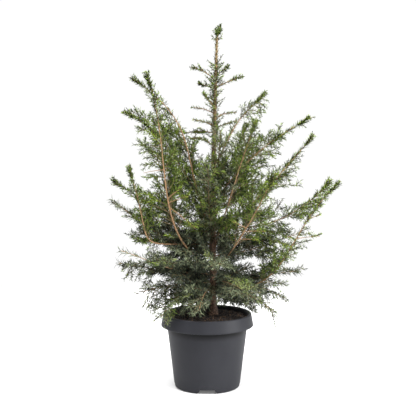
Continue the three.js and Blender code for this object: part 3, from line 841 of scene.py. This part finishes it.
def trunk_at(height):
    share = trunk_share(height)
    x = TRUNK_FOOT[0] - TRUNK_BOW * share + TRUNK_LEAN * share * share
    return np.array([x, TRUNK_FOOT[1] * (1 - share), height])


def trunk_radius(height):
    taper = max(trunk_share(height), 0) ** TRUNK_TAPER
    flare = TRUNK_FLARE * math.exp((SOIL_TOP - height) / TRUNK_FLARE_HEIGHT)
    return blend(TRUNK_RADIUS, LEADER_RADIUS, taper) + flare


class GrowthLine:
    """The line of a limb or stem from the trunk's axis to its tip, read by share of its length."""

    def __init__(self, height, azimuth, reach, tip, rise_root, rise_tip, bow=BOW):
        root = trunk_at(height)
        outwards = level(math.radians(azimuth))
        end = root + outwards * reach
        end[2] = tip
        hold = bow * np.linalg.norm(end - root)
        first, last = (
            outwards * math.cos(math.radians(rise)) + UP * math.sin(math.radians(rise))
            for rise in (rise_root, rise_tip)
        )
        t = np.linspace(0, 1, LINE_POINTS)[:, None]
        a, b, c, d = root, root + first * hold, end - last * hold, end
        self.points = a * (1 - t) ** 3 + 3 * b * t * (1 - t) ** 2 + 3 * c * t * t * (1 - t) + d * t**3
        steps = np.linalg.norm(np.diff(self.points, axis=0), axis=1)
        self.travel = np.concatenate([[0], np.cumsum(steps)])
        self.length = self.travel[-1]
        self.across = unit(np.cross(end - root, UP))
        self.faces_front = FRONT_BOUGHS[0] < azimuth < FRONT_BOUGHS[1]

    def at(self, share):
        wanted = share * self.length
        return np.array([np.interp(wanted, self.travel, self.points[:, k]) for k in range(3)])

    def along(self, shares):
        return [self.at(s) for s in shares]

    def frame(self, share):
        along = unit(self.at(min(share + 0.01, 1)) - self.at(max(share - 0.01, 0)))
        return along, self.across, np.cross(self.across, along)

    def radius(self, share):
        root = BOUGH_GIRTH + BOUGH_GIRTH_PER_LENGTH * self.length
        return blend(root, TIP_RADIUS, share)


class Wires:
    """Lines of one kind, gathered into one mesh of edges with values at their points."""

    def __init__(self, *values):
        self.points = []
        self.edges = []
        self.values = {name: [] for name in values}

    def add(self, points, **values):
        first = len(self.points)
        self.points.extend(points)
        self.edges.extend((first + i, first + i + 1) for i in range(len(points) - 1))
        for name, series in self.values.items():
            given = values[name]
            series.extend(given if np.ndim(given) else [given] * len(points))

    def mesh(self, name):
        mesh = new_mesh(name, [tuple(p * MM) for p in self.points], [], self.edges)
        for label, series in self.values.items():
            store = mesh.attributes.new(label, "FLOAT", "POINT")
            store.data.foreach_set("value", np.array(series, np.float32))
        return mesh


class Sprays:
    """The needled lines of one tint and spacing, in batches that stay small enough for one piece each."""

    def __init__(self):
        self.batches = [Wires("needle", "share")]
        self.length = 0

    def add(self, points, needle, share):
        reach = sum(np.linalg.norm(b - a) for a, b in zip(points, points[1:]))
        if self.length + reach > BATCH_LENGTH:
            self.batches.append(Wires("needle", "share"))
            self.length = 0
        self.length += reach
        self.batches[-1].add(points, needle=MM * needle, share=share)


upper_faces = {tint: Sprays() for tint in TINTS}
undersides = {tint: Sprays() for tint in TINTS}
bare_wood = Sprays()
leader_needles = Sprays()
stem_lines = {}
twigs = Wires("thickness", "age")
limbs = Wires("thickness", "age")
draws = number_stream(SEED)


def draw():
    return next(draws)


def spread(middle, share):
    """A number by chance around a middle, up to a share of it to either side."""
    return middle * (1 + share * (2 * draw() - 1))


def add_needles(points, needle, share, tint):
    upper_faces[tint].add(points, needle, share)
    undersides[UNDERSIDES[tint]].add(points, needle, share)


def choose_tint(kind):
    value = draw()
    return next(tint for tint, limit in TINT_SHARES[kind] if value <= limit)


def is_free(point):
    """A shoot's tip stays in the solids' box, out of the trunk and the pot, and out of the open views."""
    if np.any(point < BOX_LOW - OVERHANG) or np.any(point > BOX_HIGH + OVERHANG):
        return False
    x, y, z = point
    axis = trunk_at(z)
    if math.hypot(x - axis[0], y - axis[1]) < trunk_radius(max(z, SOIL_TOP)) + SHOOT_CLEARANCE:
        return False
    over_pot = math.hypot(x, y) < LIP_RADIUS + SHOOT_CLEARANCE
    return z > (LOWEST_OVER_POT if over_pot else LOWEST_BESIDE_POT) and not is_in_view(point)


def is_in_view(point):
    """Whether the camera sees a point in one of the open views."""
    eye = np.array(CAMERA_PLACE) / MM
    x, _, z = eye + (point - eye) * eye[1] / (eye[1] - point[1])
    offsets = (((x - middle) / wide, (z - height) / high) for middle, height, wide, high in OPEN_VIEWS)
    return any(math.hypot(*offset) < 1 for offset in offsets)


def bent(root, heading, length, sag, shares):
    """Points of a shoot: straight out, then sagging, or rising where the sag is negative."""
    return [root + heading * length * s - UP * sag * length * s * s for s in shares]


def add_shoot(root, heading, sideways, length, tint, habit):
    """A side shoot with its twigs, which stand to either side of it by turns."""
    sag = spread(habit.sag, 0.5)
    shares = np.linspace(0, 1, 5)
    points = bent(root, heading, length, sag, shares)
    if not is_free(points[-1]) or is_in_view(points[3]):
        return
    twigs.add(points, thickness=MM * blend(SHOOT_RADIUS, TWIG_TIP_RADIUS, shares), age=SHOOT_AGE)
    bare = SHOOT_BARE if length > SHOOT_BARE_FROM else 0
    longest_needle = min(habit.needle, NEEDLE_LEAST + NEEDLE_PER_LENGTH * length)
    tip_tint = "fresh" if draw() < habit.fresh else tint
    for first, last, count, part_tint in ((bare, FRESH_FROM, 4, tint), (FRESH_FROM, 1, 2, tip_tint)):
        shares = np.linspace(first, last, count)
        points = bent(root, heading, length, sag, shares)
        needle = longest_needle * (1 - NEEDLE_FALL * shares)
        add_needles(points, needle, blend(habit.forward, 1, shares), part_tint)
    lateral = unit(sideways - heading * np.dot(sideways, heading))
    up = np.cross(heading, lateral)
    count = int(length / habit.twig_pitch)
    shares = np.linspace(0, 1, 3)
    for j in range(count):
        along = blend(TWIGS_FROM * bare, TWIGS_TO, (j + TWIG_PLACE + TWIG_PLACE_CHANCE * draw()) / count)
        side = 1 if j % 2 else -1
        start = bent(root, heading, length, sag, [along])[0]
        angle = math.radians(spread(TWIG_ANGLE, TWIG_ANGLE_CHANCE))
        aside = side * lateral + TWIG_LIFT * (draw() - TWIG_DROP) * up
        direction = unit(heading * math.cos(angle) + aside * math.sin(angle))
        longest = min(habit.twig_longest, TWIG_LEAST + TWIG_PER_LENGTH * (1 - along) * length)
        reach = longest * (TWIG_SIZE + TWIG_SIZE_CHANCE * draw())
        twig = bent(start, direction, reach, sag, shares)
        if is_free(twig[-1]):
            needle = longest_needle * (TWIG_NEEDLE - TWIG_NEEDLE_FALL * shares)
            add_needles(twig, needle, blend(habit.forward, 1, shares), tint)
            twigs.add(twig, thickness=MM * blend(TWIG_RADIUS, TWIG_TIP_RADIUS, shares), age=TWIG_AGE)


def spray_place(kind, along):
    """Where a spray sits on its stem, by which its tint is chosen."""
    if kind == "bough":
        return "bough_outside" if along > INSIDE_TO else "bough_inside"
    # Inside the low and drooping masses the sprays mostly take the painted shade tint
    return "low_inside" if kind in ("low", "drooping") and along < INSIDE_TO else kind


def add_side_shoots(name, line, start, kind):
    """The side shoots of a mass, from one share of its stem's line to the tip."""
    habit = HABITS[kind]
    lush = LUSHNESS.get(name, 1)
    patch = FRESH_PATCHES.get(name, (1, 1))
    bare = BARE_STRETCHES.get(name, (1, 1))
    underside = HANGING.get(name, habit.underside)
    shows_stem = kind == "bough" and (line.faces_front or name in SHOWN_STEMS)
    stem_length = line.length * (1 - start)
    count = max(3, round(stem_length / habit.pitch))
    for i in range(count):
        along = SHOOTS_TO * ((i + draw()) / count) ** SHOOT_CROWDING
        share = blend(start, 1, along)
        if bare[0] < share < bare[1]:
            continue
        side = 1 if i % 2 else -1
        roll = math.radians(habit.roll) * (draw() - underside)
        longest = blend(habit.shortest, habit.longest, (1 - along) ** SHOOT_FALL)
        full = longest * (SHOOT_SIZE + SHOOT_SIZE_CHANCE * draw())
        length = min(lush * full, habit.share * stem_length * (SHOOT_REACH - along))
        along_axis, across, up = line.frame(share)
        away = across * side * math.cos(roll) + up * math.sin(roll)
        angle = math.radians(spread(habit.angle, SHOOT_ANGLE_CHANCE) * (1 - SHOOT_CLOSING * along))
        heading = along_axis * math.cos(angle) + away * math.sin(angle)
        if shows_stem and along < STEM_SHOWN_TO:
            heading[1] = STEM_SHOWN_BACK * abs(heading[1])
        is_fresh = patch[0] < share < patch[1] and draw() < FRESH_PATCH_SHARE
        tint = "fresh" if is_fresh else choose_tint(spray_place(kind, along))
        add_shoot(line.at(share), unit(heading), along_axis, length, tint, habit)


def add_tip_tuft(line):
    """A plump tuft of short shoots around a bough's tip."""
    habit = HABITS["tip"]
    along, across, up = line.frame(1)
    for i in range(TIP_SHOOTS):
        spin = i * GOLDEN_ANGLE
        angle = math.radians(spread(habit.angle, 0.3))
        away = across * math.cos(spin) + up * math.sin(spin)
        heading = along * math.cos(angle) + away * math.sin(angle)
        length = blend(habit.shortest, habit.longest, draw())
        place = line.at(1 - (length + TIP_INSET) / line.length)
        add_shoot(place, heading, across, length, choose_tint("bough_outside"), habit)


def add_stem_needles(line, start, end, needle, lean, tint):
    shares = np.linspace(start, end, max(4, int((end - start) * line.length / STEM_STEP)))
    add_needles(line.along(shares), needle, lean, tint)


def add_limb(line, age):
    shares = np.linspace(0, 1, int(line.length / LIMB_STEP))
    thickness = [MM * LIMB_SLIMNESS * line.radius(s) for s in shares]
    limbs.add(line.along(shares), thickness=thickness, age=np.clip(age * (1 - shares) ** AGE_FALL, 0, 1))


def grow_boughs():
    """Each bough is bare near the trunk, thinly needled in the middle and bushy at its tip."""
    needle = HABITS["bough"].needle
    for name, height, azimuth, reach, tip, rise_root, rise_tip, bare, *bow in BOUGHS:
        line = GrowthLine(height, azimuth, reach, tip, rise_root, rise_tip, *bow)
        stem_lines[name] = line
        add_limb(line, BOUGH_AGE)
        thin_from, dense_from = THIN_FROM * bare, BOUGH_NEEDLED
        if line.faces_front:
            thin_from, dense_from = FRONT_BARE, FRONT_NEEDLED
        bare_wood.add(line.along(np.linspace(thin_from, THIN_TO, 30)), THIN_NEEDLE * needle, THIN_LEAN)
        end = 1 - TIP_INSET / line.length
        tint = choose_tint("bough_outside")
        add_stem_needles(line, dense_from, end, DENSE_NEEDLE * needle, DENSE_LEAN, tint)
        add_side_shoots(name, line, SHOOTS_FROM * bare, "bough")
        add_tip_tuft(line)


def placed_shoots(rows):
    """For each listed shoot its stem's name, its root, its heading and its length."""
    for name, shoots in rows.items():
        for share, *way in shoots:
            yield name, stem_lines[name].at(share), unit(np.array(way, float)), np.linalg.norm(way)


def grow_light_shoots():
    """Thin bare shoots with a fresh tuft at the end, and dense sprays, where they stand out."""
    shares = np.linspace(0, 1, 6)
    bough_names = [row[0] for row in BOUGHS]
    for _, root, heading, length in placed_shoots(LIGHT_SHOOTS):
        points = bent(root, heading, length, LIGHT_SHOOT_SAG, shares)
        limbs.add(points, thickness=MM * LIGHT_SHOOT_RADIUS * (1 - 0.5 * shares), age=0.0)
        tuft = bent(root, heading, length, LIGHT_SHOOT_SAG, [LIGHT_SHOOT_BARE])[0]
        for tint in ("green", "fresh"):
            add_shoot(tuft, heading, UP, (1 - LIGHT_SHOOT_BARE) * length, tint, HABITS["tip"])
    for name, root, heading, length in placed_shoots(SIDE_SPRAYS):
        tint, kind = ("green", "bough") if name in bough_names else ("grey", "low")
        add_shoot(root, heading, UP, length, tint, HABITS[kind])


def grow_trunk_masses():
    """Masses whose stems spring from the trunk. The upper ones are short, and bare at their foot."""
    for name, height, azimuth, reach, tip, rise_root, rise_tip in TRUNK_MASSES:
        line = GrowthLine(height, azimuth, reach, tip, rise_root, rise_tip)
        stem_lines[name] = line
        kind = "top" if height > TOP_FROM else name.split("_")[0]
        kind = kind if kind in HABITS and (kind != "inner" or height > LOW_TO) else "low"
        start = STEM_START * trunk_radius(height) / line.length
        needle = HABITS[kind].needle
        if kind == "inner":
            shares = np.linspace(0, 1, 24)
            thickness = MM * blend(INNER_STEM_RADIUS, TIP_RADIUS, shares)
            twigs.add(line.along(shares), thickness=thickness, age=1)
        else:
            add_limb(line, BOUGH_AGE if kind == "top" else LOW_AGE)
        if kind == "top":
            end = 1 - TOP_TIP_INSET / line.length
            bare = blend(UPPER_BARE, TOP_BARE, (height - UPPER_FROM) / (UPPER_TO - UPPER_FROM))
            bare = min(max(bare, UPPER_BARE), TOP_BARE)
            bare_wood.add(line.along(np.linspace(start, TOP_THIN_TO, 6)), needle, TOP_THIN_LEAN)
            add_stem_needles(line, bare, end, needle, TOP_LEAN, "deep")
            add_stem_needles(line, bare + TOP_TIP_FROM, end, needle, TOP_TIP_LEAN, choose_tint(kind))
            add_side_shoots(name, line, bare + TOP_SHOOTS_FROM, kind)
        else:
            add_stem_needles(line, start, 1, needle, LOW_LEAN, choose_tint(kind))
            add_side_shoots(name, line, start, kind)


def places_round_trunk(count, low, high):
    """Places from one height to another: for each its number, its root on the axis and the level way out."""
    for i in range(count):
        height = blend(low, high, (i + draw()) / count)
        yield i, trunk_at(height), level(i * GOLDEN_ANGLE)


def grow_inner_shoots():
    """Short shoots straight from the trunk, which fill the crown's middle."""
    for _, root, outwards in places_round_trunk(INNER_SHOOTS, *INNER_HEIGHTS):
        rise = math.radians(spread(INNER_RISE, INNER_RISE_CHANCE))
        heading = outwards * math.cos(rise) + UP * math.sin(rise)
        length = spread(INNER_SHOOT_LENGTH, TRUNK_SHOOT_CHANCE)
        add_shoot(root, heading, np.cross(UP, outwards), length, choose_tint("inner"), HABITS["inner"])


def grow_foot_shoots():
    """Hanging shoots all round the trunk's foot."""
    for _, root, outwards in places_round_trunk(FOOT_SHOOTS, *FOOT_HEIGHTS):
        heading = unit(outwards + UP * FOOT_SHOOT_RISE * draw())
        length = spread(FOOT_SHOOT_LENGTH, TRUNK_SHOOT_CHANCE)
        # The foot's shoots take the inside tints, mostly the painted shade tint
        tint = choose_tint("low_inside")
        add_shoot(root, heading, np.cross(UP, outwards), length, tint, HABITS["drooping"])


def grow_leader():
    """Sparse needles on the leader's bark, a few buds, and the dense tuft on its tip."""
    for k in range(LEADER_LINES):
        outwards = level(2 * math.pi * k / LEADER_LINES + 0.5)
        for low, high, needle, lean in LEADER_ROWS:
            points = [trunk_at(h) + outwards * trunk_radius(h) for h in np.linspace(low, high, 20)]
            leader_needles.add(points, needle, lean)
            if high < LEADER_MIXED_TO:
                add_needles(points, needle, lean, "grey" if k else "deep")
    habit = HABITS["top"]
    for height, azimuth in LEADER_BUDS:
        outwards = level(math.radians(azimuth))
        root = trunk_at(height) + outwards * trunk_radius(height)
        for rise in BUD_RISES:
            add_shoot(root, unit(outwards + UP * rise), UP, spread(BUD_LENGTH, 0.3), "deep", habit)
    for i, root, outwards in places_round_trunk(LEADER_SHOOTS, *LEADER_SHOOT_HEIGHTS):
        heading = unit(outwards + UP * spread(LEADER_SHOOT_RISE, 0.5))
        tint = LEADER_SHOOT_TINTS[i % len(LEADER_SHOOT_TINTS)]
        add_shoot(root, heading, UP, spread(LEADER_SHOOT_LENGTH, 0.4), tint, habit)
    foot = trunk_at(TRUNK_TOP)
    tip = np.array(LEADER_TIP, float)
    steps = np.linspace(0, 1, 4)
    for i in range(TUFT_LINES):
        height = draw()
        start = blend(foot, tip, TUFT_ROOTS_TO * draw())
        aside = level(i * GOLDEN_ANGLE) * blend(TUFT_RADIUS, TUFT_TIP_RADIUS, height)
        end = blend(foot, tip, blend(TUFT_FROM, TUFT_TO, height)) + aside
        end = end + TUFT_OFFSET * (1 - height)
        points = [blend(start, end, s) for s in steps]
        needle = TUFT_NEEDLE - TUFT_NEEDLE_FALL * steps
        add_needles(points, needle, blend(0.6, 1, steps), "deep" if i % 4 else "green")
    shares = np.linspace(0, 0.8, 5)
    thickness = MM * blend(LEADER_TIP_RADIUS, TIP_RADIUS, shares)
    limbs.add([blend(foot, tip, s) for s in shares], thickness=thickness, age=0.2)


# Pieces

def needle_shape():
    """One needle of unit length and width: a slim blade with a raised middle and a slight bend."""
    corners = [(0, 0, 0), (0.5, 0.3, 0.45), (0, 0.75, 0.45), (-0.5, 0.3, 0.45), (0, -0.6, 1)]
    faces = [(0, 1, 2), (0, 2, 3), (4, 2, 1), (4, 3, 2)]
    return link_mesh("needle_shape", new_mesh("needle", corners, faces))


def crumb_shape(name, seed, stretch):
    """One lump of compost: a small ball pushed out of shape."""
    ball = bmesh.new()
    bmesh.ops.create_icosphere(ball, subdivisions=1, radius=1.0)
    for corner in ball.verts:
        push = 1 + CRUMB_PUSH * noise.noise(corner.co * CRUMB_WAVES + Vector((seed, 0, 0)))
        x, y, z = corner.co
        corner.co = Vector((x * push * stretch, y * push, z * push * CRUMB_FLATNESS))
    mesh = bpy.data.meshes.new(name)
    ball.to_mesh(mesh)
    ball.free()
    return link_mesh(name, mesh)


def rounded(corners):
    """A profile's points, with a smooth bend in place of each corner that has a radius."""
    points = []
    for i, (r, z, round_by) in enumerate(corners):
        here = np.array([r, z], float)
        if round_by == 0:
            points.append(here)
            continue
        before = np.array(corners[i - 1][:2], float)
        after = np.array(corners[(i + 1) % len(corners)][:2], float)
        start = here + unit(before - here) * round_by
        end = here + unit(after - here) * round_by
        for t in np.linspace(0, 1, BEND_POINTS):
            points.append(start * (1 - t) ** 2 + 2 * here * t * (1 - t) + end * t * t)
    return points


def turned(name, profile, segments):
    """A closed profile of radius and height turned about the axis."""
    rows = len(profile)
    corners = []
    faces = []
    for k in range(segments):
        angle = 2 * math.pi * k / segments
        corners += [(MM * r * math.cos(angle), MM * r * math.sin(angle), MM * z) for r, z in profile]
        here = k * rows
        there = (k + 1) % segments * rows
        for i in range(rows):
            j = (i + 1) % rows
            faces.append((here + i, there + i, there + j, here + j))
    return new_mesh(name, corners, faces)


def tidy(mesh, merge=1e-5):
    """Merges a mesh's doubles and points its faces outwards."""
    work = bmesh.new()
    work.from_mesh(mesh)
    bmesh.ops.remove_doubles(work, verts=work.verts, dist=merge)
    bmesh.ops.dissolve_degenerate(work, edges=work.edges, dist=merge)
    bmesh.ops.recalc_face_normals(work, faces=work.faces)
    work.to_mesh(mesh)
    work.free()


def wall_radius(height):
    return blend(FOOT_RADIUS, NECK_RADIUS, (height - FOOT_ROUND) / (NECK_HEIGHT - FOOT_ROUND))


def notch_block():
    """The space of the four notches under the foot, which widen towards the ground."""
    side = [(NOTCH_WIDTH / 2 + NOTCH_FLARE * flare, z) for flare, z in NOTCH_SIDE]
    edge = side + [(-x, z) for x, z in reversed(side)]
    n = len(edge)
    corners = []
    faces = []
    for quarter in range(4):
        outwards = level(quarter * math.pi / 2)
        across = np.cross(UP, outwards)
        first = len(corners)
        for r in (FOOT_RADIUS - NOTCH_DEPTH, FOOT_RADIUS + NOTCH_OVERCUT):
            corners += [tuple(MM * (outwards * r + across * x + UP * z)) for x, z in edge]
        faces.append(tuple(first + i for i in reversed(range(n))))
        faces.append(tuple(first + n + i for i in range(n)))
        for i in range(n):
            j = (i + 1) % n
            faces.append((first + i, first + j, first + n + j, first + n + i))
    mesh = new_mesh("notches", corners, faces)
    tidy(mesh)
    return link_mesh("notches", mesh)


def make_pot():
    """The wall with its skirt, turned from corners of radius, height and rounding, and notched below."""
    ledge = POT_HEIGHT - SKIRT_WALL
    floor = NOTCH_HEIGHT + NOTCH_COVER
    corners = [
        (0.01, 0, 0),
        (FOOT_RADIUS - 1, 0, FOOT_ROUND),
        (wall_radius(ledge), ledge, 1.5),
        (RIM_RADIUS - SKIRT_WALL, ledge, 2),
        (LIP_RADIUS - LIP_ROLL, LIP_HEIGHT, 0),
        (LIP_RADIUS, LIP_HEIGHT - LIP_DROP, LIP_ROLL),
        (RIM_RADIUS, POT_HEIGHT, 2.2),
        (MOUTH_RADIUS + 1, POT_HEIGHT, 1.5),
        (wall_radius(ledge) - POT_WALL, ledge, 1),
        (wall_radius(floor) - POT_WALL, floor, 0),
        (0.01, floor, 0),
    ]
    mesh = turned("pot_of_plastic", rounded(corners), POT_SEGMENTS)
    tidy(mesh)
    pot = link_mesh("pot_of_plastic", mesh)
    notches = notch_block()
    cut = pot.modifiers.new("notches", "BOOLEAN")
    cut.operation = "DIFFERENCE"
    cut.solver = "EXACT"
    cut.object = notches
    keep_result(pot)
    bpy.data.objects.remove(notches)
    pot.data.shade_smooth()
    pot.data.set_sharp_from_angle(angle=math.radians(SHARP_FROM))
    return pot


def soil_height(x, y):
    """The compost is mounded towards the trunk, and lumpy."""
    edge = wall_radius(SOIL_EDGE)
    share = (math.hypot(x, y) - SOIL_MIDDLE) / (edge - SOIL_MIDDLE)
    base = blend(SOIL_TOP + SOIL_MIDDLE_RISE, SOIL_EDGE + SOIL_EDGE_RISE, min(1, max(0, share)))
    swell, *crumbs = (
        size * noise.noise(Vector((x * waves, y * waves, seed))) for size, waves, seed in SOIL_LUMPS
    )
    return base + swell + sum(crumbs)


def make_soil():
    """The compost's lumpy top, closed below by a shallow dish."""
    around = SOIL_AROUND
    edge = wall_radius(SOIL_EDGE) - POT_WALL - 0.5
    low = wall_radius(SOIL_DISH) - POT_WALL - 1
    ways = [level(2 * math.pi * k / around) for k in range(around)]
    corners = [(0.0, 0.0, MM * soil_height(0, 0))]
    for i in range(1, SOIL_RINGS + 1):
        for x, y, _ in (way * (edge * i / SOIL_RINGS) for way in ways):
            corners.append((MM * x, MM * y, MM * soil_height(x, y)))
    first = len(corners)
    corners += [(MM * low * x, MM * low * y, MM * SOIL_DISH) for x, y, _ in ways]
    faces = [(0, 1 + k, 1 + (k + 1) % around) for k in range(around)]
    for i in range(SOIL_RINGS):
        ring = 1 + i * around
        for k in range(around):
            n = (k + 1) % around
            faces.append((ring + k, ring + around + k, ring + around + n, ring + n))
    faces.append(tuple(first + k for k in reversed(range(around))))
    mesh = new_mesh("compost", corners, faces)
    tidy(mesh)
    mesh.shade_smooth()
    return link_mesh("compost", mesh)


def finished(piece, finish, nodes=()):
    piece.data.materials.clear()
    piece.data.materials.append(finish)
    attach(piece, "root")
    if nodes:
        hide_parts(*nodes)


# Camera, light and floor

def set_camera():
    view = bpy.data.cameras.new("view")
    view.lens = CAMERA_LENS
    view.sensor_width = CAMERA_SENSOR
    camera = bpy.data.objects.new("view", view)
    camera.location = CAMERA_PLACE
    camera.rotation_euler = (math.radians(90 - CAMERA_PITCH), 0, 0)
    bpy.context.scene.collection.objects.link(camera)
    bpy.context.scene.camera = camera


def set_floor():
    corners = [(FLOOR * x, FLOOR * y, 0) for x, y in ((-1, -1), (1, -1), (1, 1), (-1, 1))]
    floor = link_mesh("floor", new_mesh("floor", corners, [(0, 1, 2, 3)]))
    floor.data.materials.append(Finish("White floor", FLOOR_FINISH).material)
    floor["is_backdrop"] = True


def set_light():
    """A white backdrop behind the object, a soft sky around it, and the lamps."""
    world = bpy.data.worlds.new("studio")
    bpy.context.scene.world = world
    world.use_nodes = True
    light = Nodes(world.node_tree)
    backdrop = light.tree.nodes["Background"]
    backdrop.inputs["Color"].default_value = WHITE
    backdrop.inputs["Strength"].default_value = BACKDROP_LIGHT
    way = light.add("ShaderNodeTexCoord", gives="Generated")
    slope = light.add("ShaderNodeVectorMath", {0: way, 1: SKY_SLOPE}, gives="Value", operation="DOT_PRODUCT")
    strength = light.math("MAXIMUM", light.math("ADD", slope, SKY_LEVEL), SKY_LEAST)
    sky = light.add("ShaderNodeBackground", {"Color": WHITE, "Strength": strength})
    seen = light.add("ShaderNodeLightPath", gives="Is Camera Ray")
    both = light.add("ShaderNodeMixShader", {0: seen, 1: sky, 2: backdrop.outputs[0]})
    light.put(light.tree.nodes["World Output"].inputs["Surface"], both)
    for name, place, size, power, is_diffuse in LAMPS:
        lamp = bpy.data.lights.new(name, "AREA")
        lamp.size = size
        lamp.energy = power
        stand = bpy.data.objects.new(name, lamp)
        stand.location = place
        aim = Vector(LAMPS_AIM) - Vector(place)
        stand.rotation_euler = aim.to_track_quat("-Z", "Y").to_euler()
        stand.visible_diffuse = is_diffuse
        bpy.context.scene.collection.objects.link(stand)
    bpy.context.scene.view_settings.view_transform = "Standard"


# Putting it together

set_camera()
set_floor()
set_light()
grow_boughs()
grow_trunk_masses()
grow_light_shoots()
grow_inner_shoots()
grow_foot_shoots()
grow_leader()

nodes = list(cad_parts)
foliage_nodes = [n for n in nodes if n.startswith("foliage_")]
bough_nodes = [n for n in nodes if n.startswith("bough_")]

needles_along = needle_tree()
limbs_along = limb_tree()
crumbs_on = crumb_tree()
needle = needle_shape()
needle_finishes = {tint: needle_finish(tint.capitalize() + " needles", *TINTS[tint]) for tint in TINTS}


def needles(name, store, spacing, seed, finish):
    """The needles of one tint and spacing: a piece for each batch."""
    pieces = []
    for number, wires in enumerate(store.batches, 1):
        values = {
            "Needle": needle, "Spacing": spacing, "Width": NEEDLE_WIDTH, "Seed": seed, "Material": finish,
            "Lean at foot": math.radians(NEEDLE_LEAN_FOOT), "Lean at tip": math.radians(NEEDLE_LEAN_TIP),
        }
        piece = needles_along.grow(name + "_" + str(number), wires.mesh(name), values)
        finished(piece, finish)
        pieces.append(piece)
    return pieces


def limbs_of(name, wires, tube, finish, replaced=()):
    """Round limbs along the lines of one kind."""
    sides, relief, flake = tube
    values = {"Sides": sides, "Relief": relief, "Flake size": flake, "Material": finish}
    finished(limbs_along.grow(name, wires.mesh(name), values), finish, replaced)


def strewn(name, surface, crumb, amount, finish):
    """Crumbs of one shape all over the compost."""
    density, smallest, largest, seed = amount
    values = {
        "Crumb": crumb, "Per square metre": density, "Smallest": smallest, "Largest": largest,
        "Seed": seed, "Material": finish,
    }
    piece = crumbs_on.grow(name, surface.data.copy(), values)
    bpy.data.objects.remove(crumb)
    return piece


needled = []
for number, tint in enumerate(TINTS):
    finish = needle_finishes[tint]
    needled += needles("needles_" + tint, upper_faces[tint], UPPER_SPACING, UPPER_SEED + number, finish)
    if undersides[tint].length:
        seed = UNDER_SEED + number
        needled += needles("needles_under_" + tint, undersides[tint], UNDER_SPACING, seed, finish)
deep = needle_finishes["deep"]
needled += needles("needles_on_bare_wood", bare_wood, BARE_SPACING, BARE_SEED, deep)
needled += needles("needles_on_leader", leader_needles, LEADER_SPACING, LEADER_SEED, deep)
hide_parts(*foliage_nodes)
bpy.data.objects.remove(needle)

trunk_line = Wires("thickness", "age")
heights = np.linspace(SOIL_TOP - TRUNK_SUNK, TRUNK_TOP, TRUNK_POINTS)
trunk_line.add(
    [trunk_at(h) for h in heights],
    thickness=[MM * trunk_radius(h) for h in heights],
    age=np.clip(np.linspace(TRUNK_AGE, 0, TRUNK_POINTS), 0, 1),
)
trunk_bark = bark_finish("Flaky trunk bark", LEADER_BARK, OLD_BARK, *TRUNK_GRAIN)
young_bark = bark_finish("Young bark", YOUNG_BARK, OLDER_BARK, *BOUGH_GRAIN)
twig_bark = bark_finish("Twig bark", TWIG_BARK, TWIG_BARK, *TWIG_GRAIN)
limbs_of("trunk_with_bark", trunk_line, TRUNK_TUBE, trunk_bark, ["trunk"])
limbs_of("boughs_with_bark", limbs, BOUGH_TUBE, young_bark, bough_nodes)
limbs_of("twigs", twigs, TWIG_TUBE, twig_bark)

finished(make_pot(), pot_finish(), ["pot"])
peat = compost_finish("Damp compost", *PEAT_TONES)
chips = compost_finish("Bark chips", *CHIP_TONES)
compost = make_soil()
crumb = crumb_shape("crumb", seed=1, stretch=1.0)
chip = crumb_shape("chip", seed=5, stretch=2.0)
crumbs = strewn("compost_crumbs", compost, crumb, PEAT_CRUMBS, peat)
bits = strewn("bark_chips", compost, chip, BARK_CHIPS, chips)
finished(compost, peat, ["soil"])
finished(crumbs, peat)
finished(bits, chips)

boxes = {"cad": solids_box, "visual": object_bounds()}
{k: [list(corner) for corner in box] for k, box in boxes.items()}
